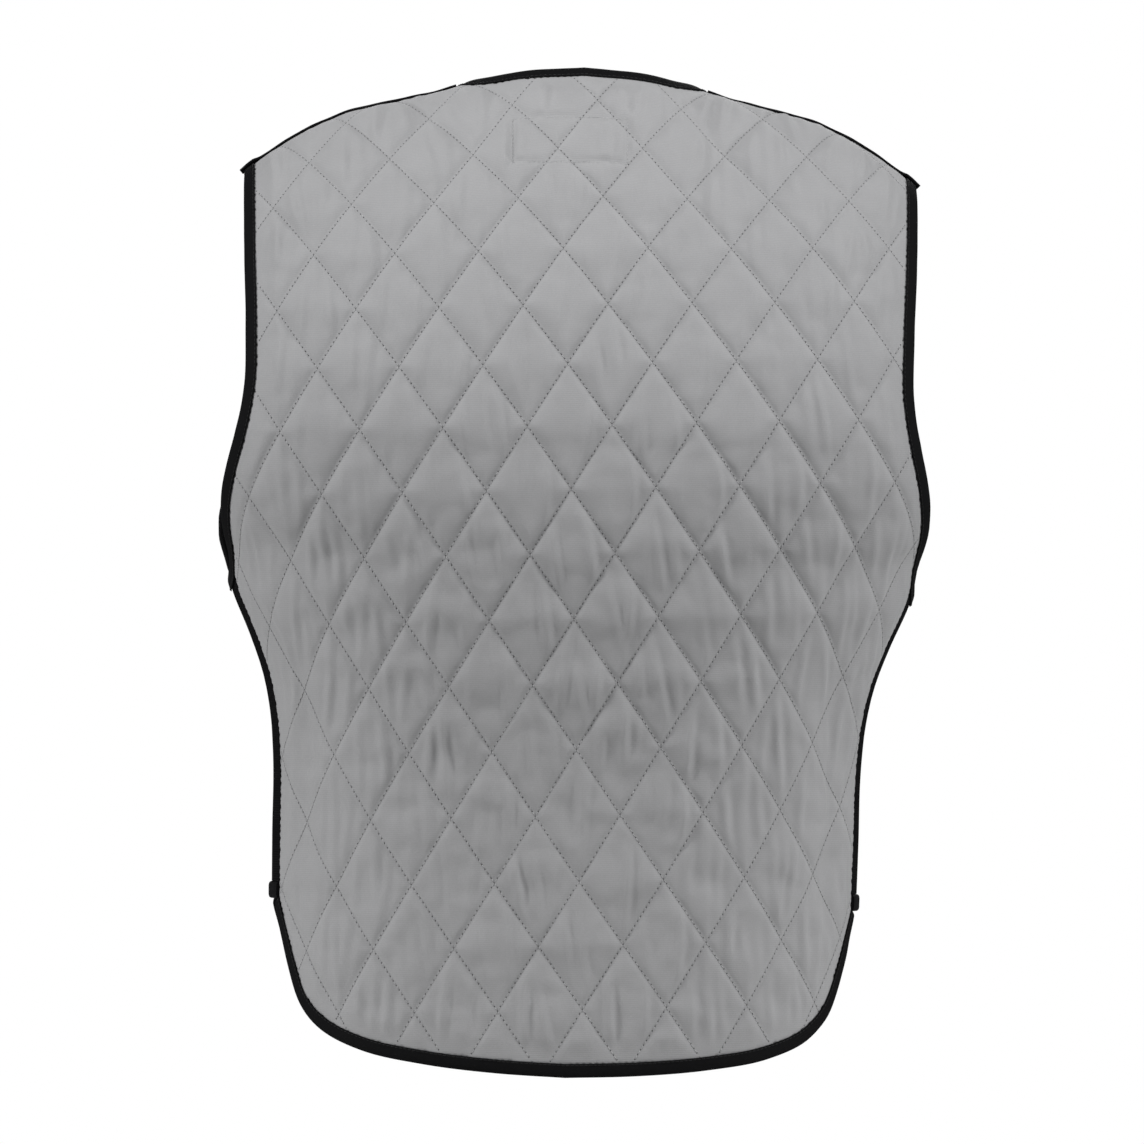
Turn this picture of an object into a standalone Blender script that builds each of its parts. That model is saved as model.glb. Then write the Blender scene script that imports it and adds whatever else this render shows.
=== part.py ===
"""Sleeveless quilted cooling vest, kept in the rounded form that it has when worn.

Metres, +Z up. The back of the vest faces -Y and its front opening, a zip, faces +Y.
The origin is midway between the two shoulders, level with the place where neck and shoulder meet.

The vest is laid out as it is sewn: each flat pattern piece has its own cloth coordinates,
u measured round the body from the centre line and w measured up the body from BLADE_LEVEL,
and form_point() wraps those coordinates round the torso and over the shoulder.
"""
import math

import bpy
import numpy as np
from mathutils import Vector
from mathutils.geometry import delaunay_2d_cdt

MM = 0.001

# Body form
VEST_LENGTH = 640 * MM       # neck and shoulder point down to the grey cloth's hem
BLADE_LEVEL = -230 * MM      # height of the shoulder blades, where the rounding over the shoulder begins
CHEST_HALF_WIDTH = 231 * MM  # half the form's width at the foot of the armhole
BACK_DEPTH = 145 * MM        # centre line plane to the back at the shoulder blades
FRONT_DEPTH = 130 * MM       # centre line plane to the chest
SHOULDER_HALF = 216 * MM     # half the width over the shoulder tips
SHOULDER_DROP = 58 * MM      # fall of the shoulder line from neck to tip
NAPE_RISE = 27 * MM          # height that the shoulder ridge would reach at the centre line

# Pattern pieces
NECK_HALF = 81 * MM          # centre line to the neck end of the shoulder seam
BACK_NECK_TOP = 265 * MM     # top of the back piece at the centre line, above BLADE_LEVEL
ARMHOLE_WIDTH = 221 * MM     # centre line to the armhole edge, measured round the cloth
ARMHOLE_FOOT = 95 * MM       # foot of the armhole, below BLADE_LEVEL
SIDE_HALF = 30 * MM          # half the width of the stretch side piece
SIDE_BOTTOM = 306 * MM       # foot of the side piece, below BLADE_LEVEL
SIDE_DIP = 9 * MM            # how far the armhole's edge dips at the middle of the side piece
BACK_TAIL = 410 * MM         # foot of the back piece, below BLADE_LEVEL
FRONT_TAIL = 368 * MM        # foot of a front piece, below BLADE_LEVEL
NECK_POINT = 42 * MM         # top of the zip, above BLADE_LEVEL
SEAM_FORWARD = 7 * MM        # shoulder seam's distance in front of the shoulder ridge

# Cloth, quilting and trim
LINE_WALL = 2.2 * MM         # thickness along a stitched line
PUFF = 2.4 * MM              # rise of the padding outside, between the stitched lines
INNER_PUFF = 0.9 * MM        # rise of the padding inside
DIAMOND_WIDTH = 55 * MM
DIAMOND_HEIGHT = 86 * MM
GRAIN_TILT = 2.6             # degrees that the quilting leans on the back piece
QUILT_START = -34 * MM       # height of one row of crossings, from BLADE_LEVEL
QUILT_SHIFT = -5.4 * MM      # that row's middle crossing on the back piece, from the centre line
SOFT_SHARE = 0.1             # share of a diamond's width over which the padding rises from a line
EDGE_FADE = 13 * MM          # the padding thins out over this distance before an edge's trim
OUTER_MARGIN = 5.5 * MM      # no point of the quilting lies nearer than this to an edge, outside
INNER_MARGIN = 7 * MM        # the same inside
OUTER_CUTS = 3               # parts that each diamond's side is cut into, outside
INNER_CUTS = 2               # the same inside
GAP = 0.3 * MM
BINDING_WIDTH = 7 * MM
BINDING_WALL = 4.2 * MM
SEAM_TAPE_WIDTH = 9 * MM
SEAM_TAPE_WALL = 1.8 * MM
KNIT_WALL = 1.6 * MM
SIDE_BAND_HEIGHT = 11 * MM
SIDE_BAND_WALL = 5 * MM
ZIP_TAPE_WIDTH = 9 * MM
ZIP_TAPE_WALL = 1.2 * MM
CHAIN_HALF = 2.6 * MM
CHAIN_WALL = 3.2 * MM
SLIDER_LENGTH = 11 * MM
SLIDER_WIDTH = 9 * MM
SLIDER_WALL = 1.4 * MM
SLIDER_LIFT = 0.6 * MM       # the slider's plate stands this far off the chain, over its bend
PULL_LENGTH = 26 * MM
PULL_WIDTH = 6 * MM
STATION = 15 * MM            # spacing of the points along an edge
SIDE_COLUMNS = 7             # points across the side piece
SEAM_POINTS = 12             # points along the shoulder seam
ZIP_ROWS = 20                # points along the zip

# Form sections. Level is a share of VEST_LENGTH down from the origin, the others are shares of
# CHEST_HALF_WIDTH, BACK_DEPTH and FRONT_DEPTH. Above the shoulder blades the first row holds.
SECTIONS = np.array([
    # level, half_width, back, front
    (0.300, 1.164, 1.000, 0.955),
    (0.359, 1.164, 1.000, 0.962),
    (0.402, 1.138, 1.000, 0.977),
    (0.444, 1.069, 0.993, 0.985),
    (0.484, 0.992, 0.972, 1.000),
    (0.527, 0.953, 0.945, 1.000),
    (0.567, 0.905, 0.917, 0.992),
    (0.608, 0.864, 0.890, 0.985),
    (0.648, 0.841, 0.862, 0.962),
    (0.689, 0.831, 0.834, 0.938),
    (0.772, 0.828, 0.807, 0.923),
    (0.875, 0.823, 0.807, 0.954),
    (1.016, 0.810, 0.821, 0.985),
])
BACK_ROUNDNESS = 2.2         # exponent of the back half of a section
FRONT_ROUNDNESS = 2.3
BACK_CROWN = 1.55            # exponent of the rounding from the shoulder blades up to the ridge
FRONT_CROWN = 1.7

# Shoulder ridge. Out is a share of SHOULDER_HALF, drop a share of SHOULDER_DROP.
RIDGE = np.array([
    # out, drop
    (0.324, -0.026),
    (0.505, 0.195),
    (0.731, 0.420),
    (0.852, 0.645),
    (0.944, 0.865),
    (1.000, 1.025),
    (1.111, 1.460),
    (1.250, 2.069),
])

# Back armhole edge from the shoulder down: level is a share of the armhole's depth (1 at its foot,
# 0 at the shoulder blades, negative above), out a share of ARMHOLE_WIDTH.
BACK_ARMHOLE = np.array([
    # level, out
    (-1.80, 1.009),
    (-1.30, 1.005),
    (-0.71, 0.996),
    (-0.30, 0.998),
    (0.02, 1.026),
    (0.28, 1.066),
    (0.57, 1.119),
    (0.84, 1.163),
])
FRONT_ARMHOLE = np.array([
    # level, out
    (-1.80, 0.955),
    (-1.30, 0.905),
    (-0.71, 0.875),
    (-0.30, 0.890),
    (0.02, 0.935),
    (0.35, 1.020),
    (0.68, 1.120),
    (0.88, 1.185),
])

# Hem of the back piece, from the side piece to the centre line: out is a share of the side seam's
# distance from the centre line, fall a share of the way from SIDE_BOTTOM down to the tail.
BACK_HEM = np.array([
    # out, fall
    (0.966, 0.12),
    (0.915, 0.34),
    (0.838, 0.62),
    (0.762, 0.745),
    (0.620, 0.862),
    (0.430, 0.935),
    (0.200, 0.982),
])
FRONT_HEM = np.array([
    # out, fall
    (0.965, 0.12),
    (0.900, 0.36),
    (0.800, 0.66),
    (0.660, 0.84),
    (0.450, 0.950),
    (0.230, 0.990),
])

# Back neckline from the centre line: out is a share of NECK_HALF, rise a share of the way up to the seam.
BACK_NECK = np.array([
    # out, rise
    (0.25, 0.00),
    (0.52, 0.05),
    (0.78, 0.23),
    (0.94, 0.60),
])
# Front neckline from the seam down to the zip, as shares of NECK_HALF and of the way down.
FRONT_NECK = np.array([
    # out, fall
    (0.915, 0.14),
    (0.740, 0.37),
    (0.525, 0.64),
    (0.315, 0.875),
])

# The quilting is eased in where the cloth rounds over the shoulders. Row counts diamonds up from
# QUILT_START, and height is a share of DIAMOND_HEIGHT above it.
QUILT_ROWS = np.array([
    # row, height
    (-5.0, -4.93),
    (-4.0, -3.94),
    (-3.0, -2.97),
    (-2.0, -1.97),
    (-1.0, -0.98),
    (0.0, 0.00),
    (1.0, 0.95),
    (2.0, 1.87),
    (3.0, 2.74),
    (4.0, 3.66),
])

# Soft hollows that the hanging cloth keeps on the back. Side is -1 on the left of the origin, out and
# width are shares of DIAMOND_WIDTH, top and foot shares of BACK_TAIL, lean is the sideways drift.
FOLDS = np.array([
    # side, out, lean, top, foot, width, depth
    (-1, 3.35, 0.10, -0.20, -0.98, 0.26, 0.55),
    (-1, 2.70, 0.15, -0.55, -1.02, 0.22, 0.35),
    (1, 3.35, -0.20, -0.15, -0.98, 0.26, 0.55),
    (1, 2.60, 0.10, -0.50, -1.00, 0.22, 0.30),
    (-1, 1.60, 0.45, 0.72, 0.45, 0.20, 0.35),
    (1, 1.45, 0.25, 0.72, 0.38, 0.20, 0.40),
])
FOLD_DEPTH = 5 * MM

COLOURS = {
    # colour (linear), roughness, metallic
    "grey_cloth": ((0.28, 0.28, 0.28), 0.85, 0.0),
    "black_tape": ((0.012, 0.012, 0.013), 0.80, 0.0),
    "black_knit": ((0.015, 0.015, 0.016), 0.85, 0.0),
    "black_zip": ((0.02, 0.02, 0.02), 0.45, 0.0),
    "zip_metal": ((0.30, 0.30, 0.31), 0.35, 1.0),
}

QUARTER_STEPS = 97           # points along a quarter of a section
SLOPE_STEP = 1.5 * MM        # the cloth's slope is taken over twice this distance
BACK = -1.0
FRONT = 1.0


def smooth_table(x, xs, ys):
    """Cubic curve through a table's rows, with each slope the average of its two neighbours'."""
    steps = np.diff(xs)
    slopes = np.diff(ys) / steps
    tangent = np.empty(len(xs))
    tangent[1:-1] = (slopes[1:] * steps[:-1] + slopes[:-1] * steps[1:]) / (xs[2:] - xs[:-2])
    tangent[0] = slopes[0]
    tangent[-1] = slopes[-1]
    i = np.clip(np.searchsorted(xs, x) - 1, 0, len(xs) - 2)
    h = xs[i + 1] - xs[i]
    t = np.clip((x - xs[i]) / h, 0.0, 1.0)
    return ((1 + 2 * t) * (1 - t) ** 2 * ys[i] + t * (1 - t) ** 2 * h * tangent[i]
            + t * t * (3 - 2 * t) * ys[i + 1] + t * t * (t - 1) * h * tangent[i + 1])


def half_width(z):
    """Half the width of the form's section at each height."""
    return CHEST_HALF_WIDTH * smooth_table(-z / VEST_LENGTH, SECTIONS[:, 0], SECTIONS[:, 1])


def depth(z, side):
    """Depth of the form's section at each height, from the centre line plane to its back or front."""
    column, size = (2, BACK_DEPTH) if side == BACK else (3, FRONT_DEPTH)
    return size * smooth_table(-z / VEST_LENGTH, SECTIONS[:, 0], SECTIONS[:, column])


def ridge_height(x):
    """Height of the shoulder line above the origin, x metres out from the centre line."""
    out = np.concatenate([[0.0, 0.162], RIDGE[:, 0]])
    drop = np.concatenate([[-NAPE_RISE / SHOULDER_DROP, -0.74 * NAPE_RISE / SHOULDER_DROP], RIDGE[:, 1]])
    return -SHOULDER_DROP * smooth_table(np.abs(x) / SHOULDER_HALF, out, drop)


def quarter_curve(across, along, exponent):
    """Points and running length of the quarter curve |p/across|^n + |q/along|^n = 1, from q = along."""
    t = np.linspace(0.0, math.pi / 2, QUARTER_STEPS)
    p = across[:, None] * np.sin(t) ** (2 / exponent)
    q = along[:, None] * np.cos(t) ** (2 / exponent)
    steps = np.hypot(np.diff(p), np.diff(q))
    length = np.concatenate([np.zeros((len(across), 1)), np.cumsum(steps, axis=1)], axis=1)
    return p, q, length


def read_rows(key, keys, *values):
    """Linear reading of each row's values where its keys reach that row's key."""
    i = np.clip((keys < key[:, None]).sum(axis=1) - 1, 0, keys.shape[1] - 2)
    row = np.arange(len(key))
    part = (key - keys[row, i]) / (keys[row, i + 1] - keys[row, i])
    part = np.clip(part, 0.0, 1.0)
    return [v[row, i] + part * (v[row, i + 1] - v[row, i]) for v in values]


def section_curve(z, side):
    """Back or front quarter of the form's section at each height, from the centre line outwards."""
    exponent = BACK_ROUNDNESS if side == BACK else FRONT_ROUNDNESS
    return quarter_curve(half_width(z), depth(z, side), exponent)


def side_length(z, side):
    """Length round the section from the centre line to the side line, at each height."""
    return section_curve(z, side)[2][:, -1]


def crown_curve(x, side):
    """The rise from BLADE_LEVEL up to the shoulder ridge, x metres out: heights, depths, lengths."""
    exponent = BACK_ROUNDNESS if side == BACK else FRONT_ROUNDNESS
    level = np.full(len(x), BLADE_LEVEL)
    share = np.clip(np.abs(x) / half_width(level), 0.0, 1.0)
    at_blade = depth(level, side) * (1 - share ** exponent) ** (1 / exponent)
    crown = BACK_CROWN if side == BACK else FRONT_CROWN
    return quarter_curve(ridge_height(x) - BLADE_LEVEL, at_blade, crown)


def crown_length(u, side):
    """Length of cloth from BLADE_LEVEL up to the shoulder ridge, u metres round from the centre line."""
    x = out_at_blade(np.abs(u), side)
    return crown_curve(x, side)[2][:, -1]


def out_at_blade(u, side):
    """Distance from the centre plane at BLADE_LEVEL, which cloth above that level keeps."""
    x, _, length = section_curve(np.full(len(u), BLADE_LEVEL), side)
    return read_rows(u, length, x)[0]


def form_point(u, w, side):
    """Place cloth coordinates on the torso form. Past the ridge the cloth goes on down the other side."""
    u = np.asarray(u, dtype=float)
    w = np.asarray(w, dtype=float)
    z_low = BLADE_LEVEL + np.minimum(w, 0.0)
    xs, ys, lengths = section_curve(z_low, side)
    x_low, y_low = read_rows(np.abs(u), lengths, xs, ys)
    past_side = np.maximum(np.abs(u) - lengths[:, -1], 0.0)
    xo, yo, lo = section_curve(z_low, -side)
    x_past, y_past = read_rows(lo[:, -1] - past_side, lo, xo, yo)
    x_low = np.where(past_side > 0, x_past, x_low)
    y_low = np.where(past_side > 0, -y_past, y_low)

    x_up = out_at_blade(np.abs(u), side)
    rise, back, run = crown_curve(x_up, side)
    z_up, y_up = read_rows(np.maximum(w, 0.0), run, rise, back)
    over = np.maximum(w - run[:, -1], 0.0)
    rise_o, back_o, run_o = crown_curve(x_up, -side)
    z_over, y_over = read_rows(run_o[:, -1] - over, run_o, rise_o, back_o)
    z_up = np.where(over > 0, z_over, z_up) + BLADE_LEVEL
    y_up = np.where(over > 0, -y_over, y_up)

    upper = w > 0
    x = np.where(upper, x_up, x_low) * np.sign(u)
    y = np.where(upper, y_up, y_low) * side
    z = np.where(upper, z_up, z_low)
    return np.stack([x, y, z], axis=1)


def fold_depth(u, w, side):
    """Soft hollows of the back: each is a valley of bell section that fades out at both ends."""
    total = np.zeros(len(u))
    if side == FRONT:
        return total
    for hand, out, lean, top, foot, width, deep in FOLDS:
        along = np.clip((w / BACK_TAIL - top) / (foot - top), 0.0, 1.0)
        middle = hand * (out + lean * along) * DIAMOND_WIDTH
        bell = np.exp(-((u - middle) / (width * DIAMOND_WIDTH)) ** 2)
        total += deep * FOLD_DEPTH * bell * np.sin(math.pi * along) ** 1.5
    return total


def cloth_point(u, w, side, lift=0.0):
    """Point of the draped cloth, lifted along its own outward direction."""
    u = np.asarray(u, dtype=float)
    w = np.asarray(w, dtype=float)
    across = form_point(u + SLOPE_STEP, w, side) - form_point(u - SLOPE_STEP, w, side)
    upward = form_point(u, w + SLOPE_STEP, side) - form_point(u, w - SLOPE_STEP, side)
    outward = np.cross(across, upward) * -side
    outward /= np.linalg.norm(outward, axis=1)[:, None]
    rise = lift - fold_depth(u, w, side)
    return form_point(u, w, side) + outward * np.asarray(rise).reshape(-1, 1), outward


def spline(points, spacing, grading=1.0):
    """Stations along a smooth curve through the points, ends included.

    They are even, or with a grading above 1 closer together near the start.
    """
    p = np.array(points, dtype=float)
    knots = np.concatenate([[0.0], np.cumsum(np.linalg.norm(np.diff(p, axis=0), axis=1))])
    fine = np.linspace(0.0, knots[-1], 40 * len(p))
    curve = np.stack([smooth_table(fine, knots, p[:, k]) for k in range(p.shape[1])], axis=1)
    run = np.concatenate([[0.0], np.cumsum(np.linalg.norm(np.diff(curve, axis=0), axis=1))])
    count = max(2, round(run[-1] / spacing) + 1)
    at = run[-1] * np.linspace(0.0, 1.0, count) ** grading
    return np.stack([np.interp(at, run, curve[:, k]) for k in range(p.shape[1])], axis=1)


def shoulder_tip_u(side):
    """Where a piece's armhole edge meets the shoulder seam, so that both pieces end together."""
    tip = np.array([BACK_ARMHOLE[0, 1] * ARMHOLE_WIDTH])
    if side == BACK:
        return tip[0]
    x, _, length = section_curve(np.array([BLADE_LEVEL]), side)
    return read_rows(out_at_blade(tip, BACK), x, length)[0][0]


def shoulder_seam_w(u, side):
    """Height of the shoulder seam in a piece's own cloth coordinates, less its half of the gap."""
    forward = SEAM_FORWARD if side == BACK else -SEAM_FORWARD
    return crown_length(u, side) + forward - GAP / 2


def side_seam_u(w, side):
    """Place of the side seam, half a gap short of the side piece."""
    return side_length(BLADE_LEVEL + w, side) - SIDE_HALF - GAP / 2


def armhole_edge(side):
    """Edge of the armhole from the shoulder tip down to the side seam."""
    table = BACK_ARMHOLE if side == BACK else FRONT_ARMHOLE
    tip_u = shoulder_tip_u(side)
    tip_w = shoulder_seam_w(np.array([tip_u]), side)[0]
    foot_u = side_seam_u(np.array([-ARMHOLE_FOOT]), side)[0]
    middle = [(out * ARMHOLE_WIDTH, -level * ARMHOLE_FOOT) for level, out in table]
    return spline([(tip_u, tip_w)] + middle + [(foot_u, -ARMHOLE_FOOT)], STATION, 1.3)


def side_seam_edge(side):
    """Side seam from the foot of the armhole down to the foot of the side piece."""
    levels = np.linspace(-ARMHOLE_FOOT, -SIDE_BOTTOM, side_rows())
    return np.stack([side_seam_u(levels, side), levels], axis=1)


def hem_edge(side, inner_u, tail):
    """Hem from the foot of the side seam round the tail's corner to inner_u."""
    table = BACK_HEM if side == BACK else FRONT_HEM
    seam = side_seam_u(np.array([-SIDE_BOTTOM]), side)[0]
    span = seam - inner_u
    points = [(seam, -SIDE_BOTTOM)]
    points += [(inner_u + out * span, -SIDE_BOTTOM - fall * (tail - SIDE_BOTTOM)) for out, fall in table]
    points += [(inner_u, -tail)]
    return spline(points, STATION)


def shoulder_edge(side):
    """Shoulder seam from the neck out to the shoulder tip."""
    u = np.linspace(NECK_HALF, shoulder_tip_u(side), SEAM_POINTS)
    return np.stack([u, shoulder_seam_w(u, side)], axis=1)


def back_neck_edge():
    """Back neckline from the centre line to the shoulder seam, level where it crosses the centre line."""
    seam = shoulder_seam_w(np.array([NECK_HALF]), BACK)[0]
    points = [(-BACK_NECK[0, 0] * NECK_HALF, BACK_NECK_TOP), (0.0, BACK_NECK_TOP)]
    points += [(out * NECK_HALF, BACK_NECK_TOP + rise * (seam - BACK_NECK_TOP)) for out, rise in BACK_NECK]
    points += [(NECK_HALF, seam)]
    curve = spline(points, STATION / 4)
    right = curve[curve[:, 0] > 0]
    return spline(np.concatenate([[(0.0, BACK_NECK_TOP)], right]), STATION)


def front_neck_edge():
    """V neckline of a front piece, from the shoulder seam down to the top of the zip."""
    seam = shoulder_seam_w(np.array([NECK_HALF]), FRONT)[0]
    zip_u = front_edge_u()
    points = [(NECK_HALF, seam)]
    points += [(out * NECK_HALF, seam - fall * (seam - NECK_POINT)) for out, fall in FRONT_NECK]
    points += [(zip_u, NECK_POINT)]
    return spline(points, STATION)


def front_edge_u():
    """Distance from the centre line to the front piece's edge, which lies beside the zip tape."""
    return CHAIN_HALF + GAP + ZIP_TAPE_WIDTH + GAP


def mirrored(edge):
    """The same edge on the other side of the centre line, walked the other way."""
    return edge[::-1] * (-1, 1)


def join_edges(*edges):
    """One walk along several edges that share their end points."""
    parts = [edges[0]]
    parts += [edge[1:] for edge in edges[1:]]
    return np.concatenate(parts)


def inside(points, loop):
    """True for points within a closed polygon, by counting its crossings of a ray to the right."""
    a = loop
    b = np.roll(loop, -1, axis=0)
    x = points[:, 0][:, None]
    y = points[:, 1][:, None]
    straddles = (a[:, 1] > y) != (b[:, 1] > y)
    rise = np.where(b[:, 1] == a[:, 1], 1.0, b[:, 1] - a[:, 1])
    cut = a[:, 0] + (y - a[:, 1]) * (b[:, 0] - a[:, 0]) / rise
    return (straddles & (x < cut)).sum(axis=1) % 2 == 1


def edge_distance(points, loop):
    """Shortest distance from each point to a closed polygon's sides."""
    a = loop
    ab = np.roll(loop, -1, axis=0) - a
    ap = points[:, None, :] - a
    t = np.clip((ap * ab).sum(axis=2) / (ab * ab).sum(axis=1), 0.0, 1.0)
    return np.linalg.norm(ap - ab * t[:, :, None], axis=2).min(axis=1)


def quilt_axes(tilt):
    """Rows that turn cloth coordinates into counts of diamonds along the two stitching directions."""
    c, s = math.cos(math.radians(tilt)), math.sin(math.radians(tilt))
    across = np.array([c, s]) / DIAMOND_WIDTH
    upward = np.array([-s, c]) / DIAMOND_HEIGHT
    return np.stack([across + upward, across - upward])


def quilt_counts(points, tilt, shift):
    """Counts of diamonds along the two stitching directions; a stitched line has a whole number."""
    row_height = QUILT_START + QUILT_ROWS[:, 1] * DIAMOND_HEIGHT
    up = DIAMOND_HEIGHT * smooth_table(points[:, 1], row_height, QUILT_ROWS[:, 0])
    return np.stack([points[:, 0] - shift, up], axis=1) @ quilt_axes(tilt).T


def quilt_points(counts, tilt, shift):
    """Cloth coordinates of the given counts of diamonds."""
    flat = counts @ np.linalg.inv(quilt_axes(tilt)).T
    heights = np.linspace(QUILT_ROWS[0, 1], QUILT_ROWS[-1, 1], 400) * DIAMOND_HEIGHT + QUILT_START
    counted = smooth_table(heights, QUILT_START + QUILT_ROWS[:, 1] * DIAMOND_HEIGHT, QUILT_ROWS[:, 0])
    w = np.interp(flat[:, 1] / DIAMOND_HEIGHT, counted, heights, left=2 * heights[0], right=2 * heights[-1])
    return np.stack([flat[:, 0] + shift, w], axis=1)


def quilt_nodes(loop, tilt, shift, parts, margin):
    """Points where each diamond is cut into equal parts both ways, kept clear of the edge."""
    counts = quilt_counts(loop, tilt, shift)
    low = np.floor(counts.min(axis=0)) * parts
    high = np.ceil(counts.max(axis=0)) * parts
    i, j = np.meshgrid(np.arange(low[0], high[0] + 1), np.arange(low[1], high[1] + 1))
    nodes = quilt_points(np.stack([i.ravel(), j.ravel()], axis=1) / parts, tilt, shift)
    nodes = nodes[inside(nodes, loop)]
    return nodes[edge_distance(nodes, loop) > margin]


def padding(points, loop, tilt, shift):
    """Share of the full puff: none on a stitched line or at the edge, full between the lines."""
    counts = quilt_counts(points, tilt, shift)
    spacing = 1 / np.linalg.norm(quilt_axes(tilt), axis=1)
    to_line = (np.abs(counts - np.round(counts)) * spacing).min(axis=1)
    between = 1 - np.exp(-to_line / (SOFT_SHARE * DIAMOND_WIDTH))
    from_trim = edge_distance(points, loop) - SEAM_TAPE_WIDTH / 2
    return between * np.clip(from_trim / EDGE_FADE, 0.0, 1.0) ** 1.5


def triangles_within(loop, nodes):
    """Triangles of the loop's inside, with the loop's own points first."""
    count = len(loop)
    vectors = [Vector(p) for p in np.concatenate([loop, nodes]) / MM]
    sides = [(k, (k + 1) % count) for k in range(count)]
    verts, _, faces, _, _, _ = delaunay_2d_cdt(vectors, sides, [], 0, 1e-5)
    if len(verts) != len(vectors):
        raise ValueError("two points of a pattern piece coincide")
    flat = np.array([tuple(v) for v in verts]) * MM
    faces = np.array(faces)
    middles = flat[faces].mean(axis=1)
    return faces[inside(middles, loop)]


def make_object(name, verts, faces, look):
    """Mesh object with outward faces and its own material."""
    mesh = bpy.data.meshes.new(name)
    mesh.from_pydata([tuple(v) for v in verts], [], [tuple(int(i) for i in f) for f in faces])
    mesh.validate()
    mesh.shade_smooth()
    mesh.set_sharp_from_angle(angle=math.radians(50))
    colour, roughness, metallic = COLOURS[look]
    material = bpy.data.materials.new(name + "_" + look)
    material.use_nodes = True
    shader = material.node_tree.nodes["Principled BSDF"]
    shader.inputs["Base Color"].default_value = (*colour, 1.0)
    shader.inputs["Roughness"].default_value = roughness
    shader.inputs["Metallic"].default_value = metallic
    material.diffuse_color = (*colour, 1.0)
    mesh.materials.append(material)
    obj = bpy.data.objects.new(name, mesh)
    bpy.context.scene.collection.objects.link(obj)
    return obj


def outward_faces(verts, faces):
    """The faces turned so that the closed mesh has a positive volume."""
    verts = np.asarray(verts)
    volume = 0.0
    for face in faces:
        a = verts[face[0]]
        for k in range(1, len(face) - 1):
            volume += np.dot(a, np.cross(verts[face[k]], verts[face[k + 1]]))
    if volume < 0:
        return [tuple(face)[::-1] for face in faces]
    return [tuple(face) for face in faces]


def quilted_panel(name, loop, side, tilt, shift):
    """Padded cloth piece: an outer skin, a plainer inner skin, and an edge that joins them."""
    count = len(loop)
    outer_nodes = quilt_nodes(loop, tilt, shift, OUTER_CUTS, OUTER_MARGIN)
    inner_nodes = quilt_nodes(loop, tilt, shift, INNER_CUTS, INNER_MARGIN)
    outer_flat = np.concatenate([loop, outer_nodes])
    inner_flat = np.concatenate([loop, inner_nodes])
    lift = LINE_WALL / 2 + PUFF * padding(outer_flat, loop, tilt, shift)
    drop = -LINE_WALL / 2 - INNER_PUFF * padding(inner_flat, loop, tilt, shift)
    outer, _ = cloth_point(outer_flat[:, 0], outer_flat[:, 1], side, lift)
    inner, _ = cloth_point(inner_flat[:, 0], inner_flat[:, 1], side, drop)
    first_inner = len(outer)
    faces = [tuple(f) for f in triangles_within(loop, outer_nodes)]
    faces += [tuple(f[::-1] + first_inner) for f in triangles_within(loop, inner_nodes)]
    for k in range(count):
        following = (k + 1) % count
        faces.append((following, k, first_inner + k))
        faces.append((following, first_inner + k, first_inner + following))
    verts = np.concatenate([outer, inner])
    return make_object(name, verts, outward_faces(verts, faces), "grey_cloth")


def grid_piece(name, us, ws, side, wall, look, lift=0.0):
    """Thin even piece on a grid of cloth coordinates; us and ws are arrays of the same shape."""
    rows, columns = us.shape
    outer, _ = cloth_point(us.ravel(), ws.ravel(), side, lift + wall / 2)
    inner, _ = cloth_point(us.ravel(), ws.ravel(), side, lift - wall / 2)
    total = rows * columns

    def at(r, c):
        return r * columns + c

    faces = []
    for r in range(rows - 1):
        for c in range(columns - 1):
            quad = (at(r, c), at(r, c + 1), at(r + 1, c + 1), at(r + 1, c))
            faces.append(quad)
            faces.append(tuple(total + i for i in quad[::-1]))
    rim = [at(0, c) for c in range(columns)] + [at(r, columns - 1) for r in range(1, rows)]
    rim += [at(rows - 1, c) for c in range(columns - 2, -1, -1)] + [at(r, 0) for r in range(rows - 2, 0, -1)]
    for k, start in enumerate(rim):
        end = rim[(k + 1) % len(rim)]
        faces.append((end, start, total + start, total + end))
    verts = np.concatenate([outer, inner])
    return make_object(name, verts, outward_faces(verts, faces), look)


def binding_profile(width, wall):
    """Corners of a folded tape beside a cloth edge: distance past the edge and height."""
    half = wall / 2
    return np.array([
        (GAP, -half * 0.9),
        (GAP + 0.82 * width, -half),
        (GAP + width, -half * 0.4),
        (GAP + width, half * 0.4),
        (GAP + 0.82 * width, half),
        (GAP, half * 0.9),
    ])


def swept_binding(name, path, normals, turn, closed=False):
    """Folded tape swept along an edge in space.

    turn is 1 where the cloth lies on the right of the walk, seen from outside, and -1 on the left.
    """
    if closed:
        tangent = np.roll(path, -1, axis=0) - np.roll(path, 1, axis=0)
    else:
        tangent = np.gradient(path, axis=0)
    tangent /= np.linalg.norm(tangent, axis=1)[:, None]
    outward = np.cross(normals, tangent) * turn
    outward /= np.linalg.norm(outward, axis=1)[:, None]
    normals = normals - tangent * (normals * tangent).sum(axis=1)[:, None]
    normals /= np.linalg.norm(normals, axis=1)[:, None]
    profile = binding_profile(BINDING_WIDTH, BINDING_WALL)
    sides = len(profile)
    rings = path[:, None, :] + outward[:, None, :] * profile[:, 0, None] + normals[:, None, :] * profile[:, 1, None]
    verts = rings.reshape(-1, 3)
    stations = len(path)
    faces = []
    for k in range(stations if closed else stations - 1):
        following = (k + 1) % stations
        for j in range(sides):
            a, b = k * sides + j, k * sides + (j + 1) % sides
            c, d = following * sides + (j + 1) % sides, following * sides + j
            faces.append((a, b, c, d))
    if not closed:
        faces.append(tuple(range(sides))[::-1])
        faces.append(tuple((stations - 1) * sides + j for j in range(sides)))
    return make_object(name, verts, outward_faces(verts, faces), "black_tape")


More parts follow.
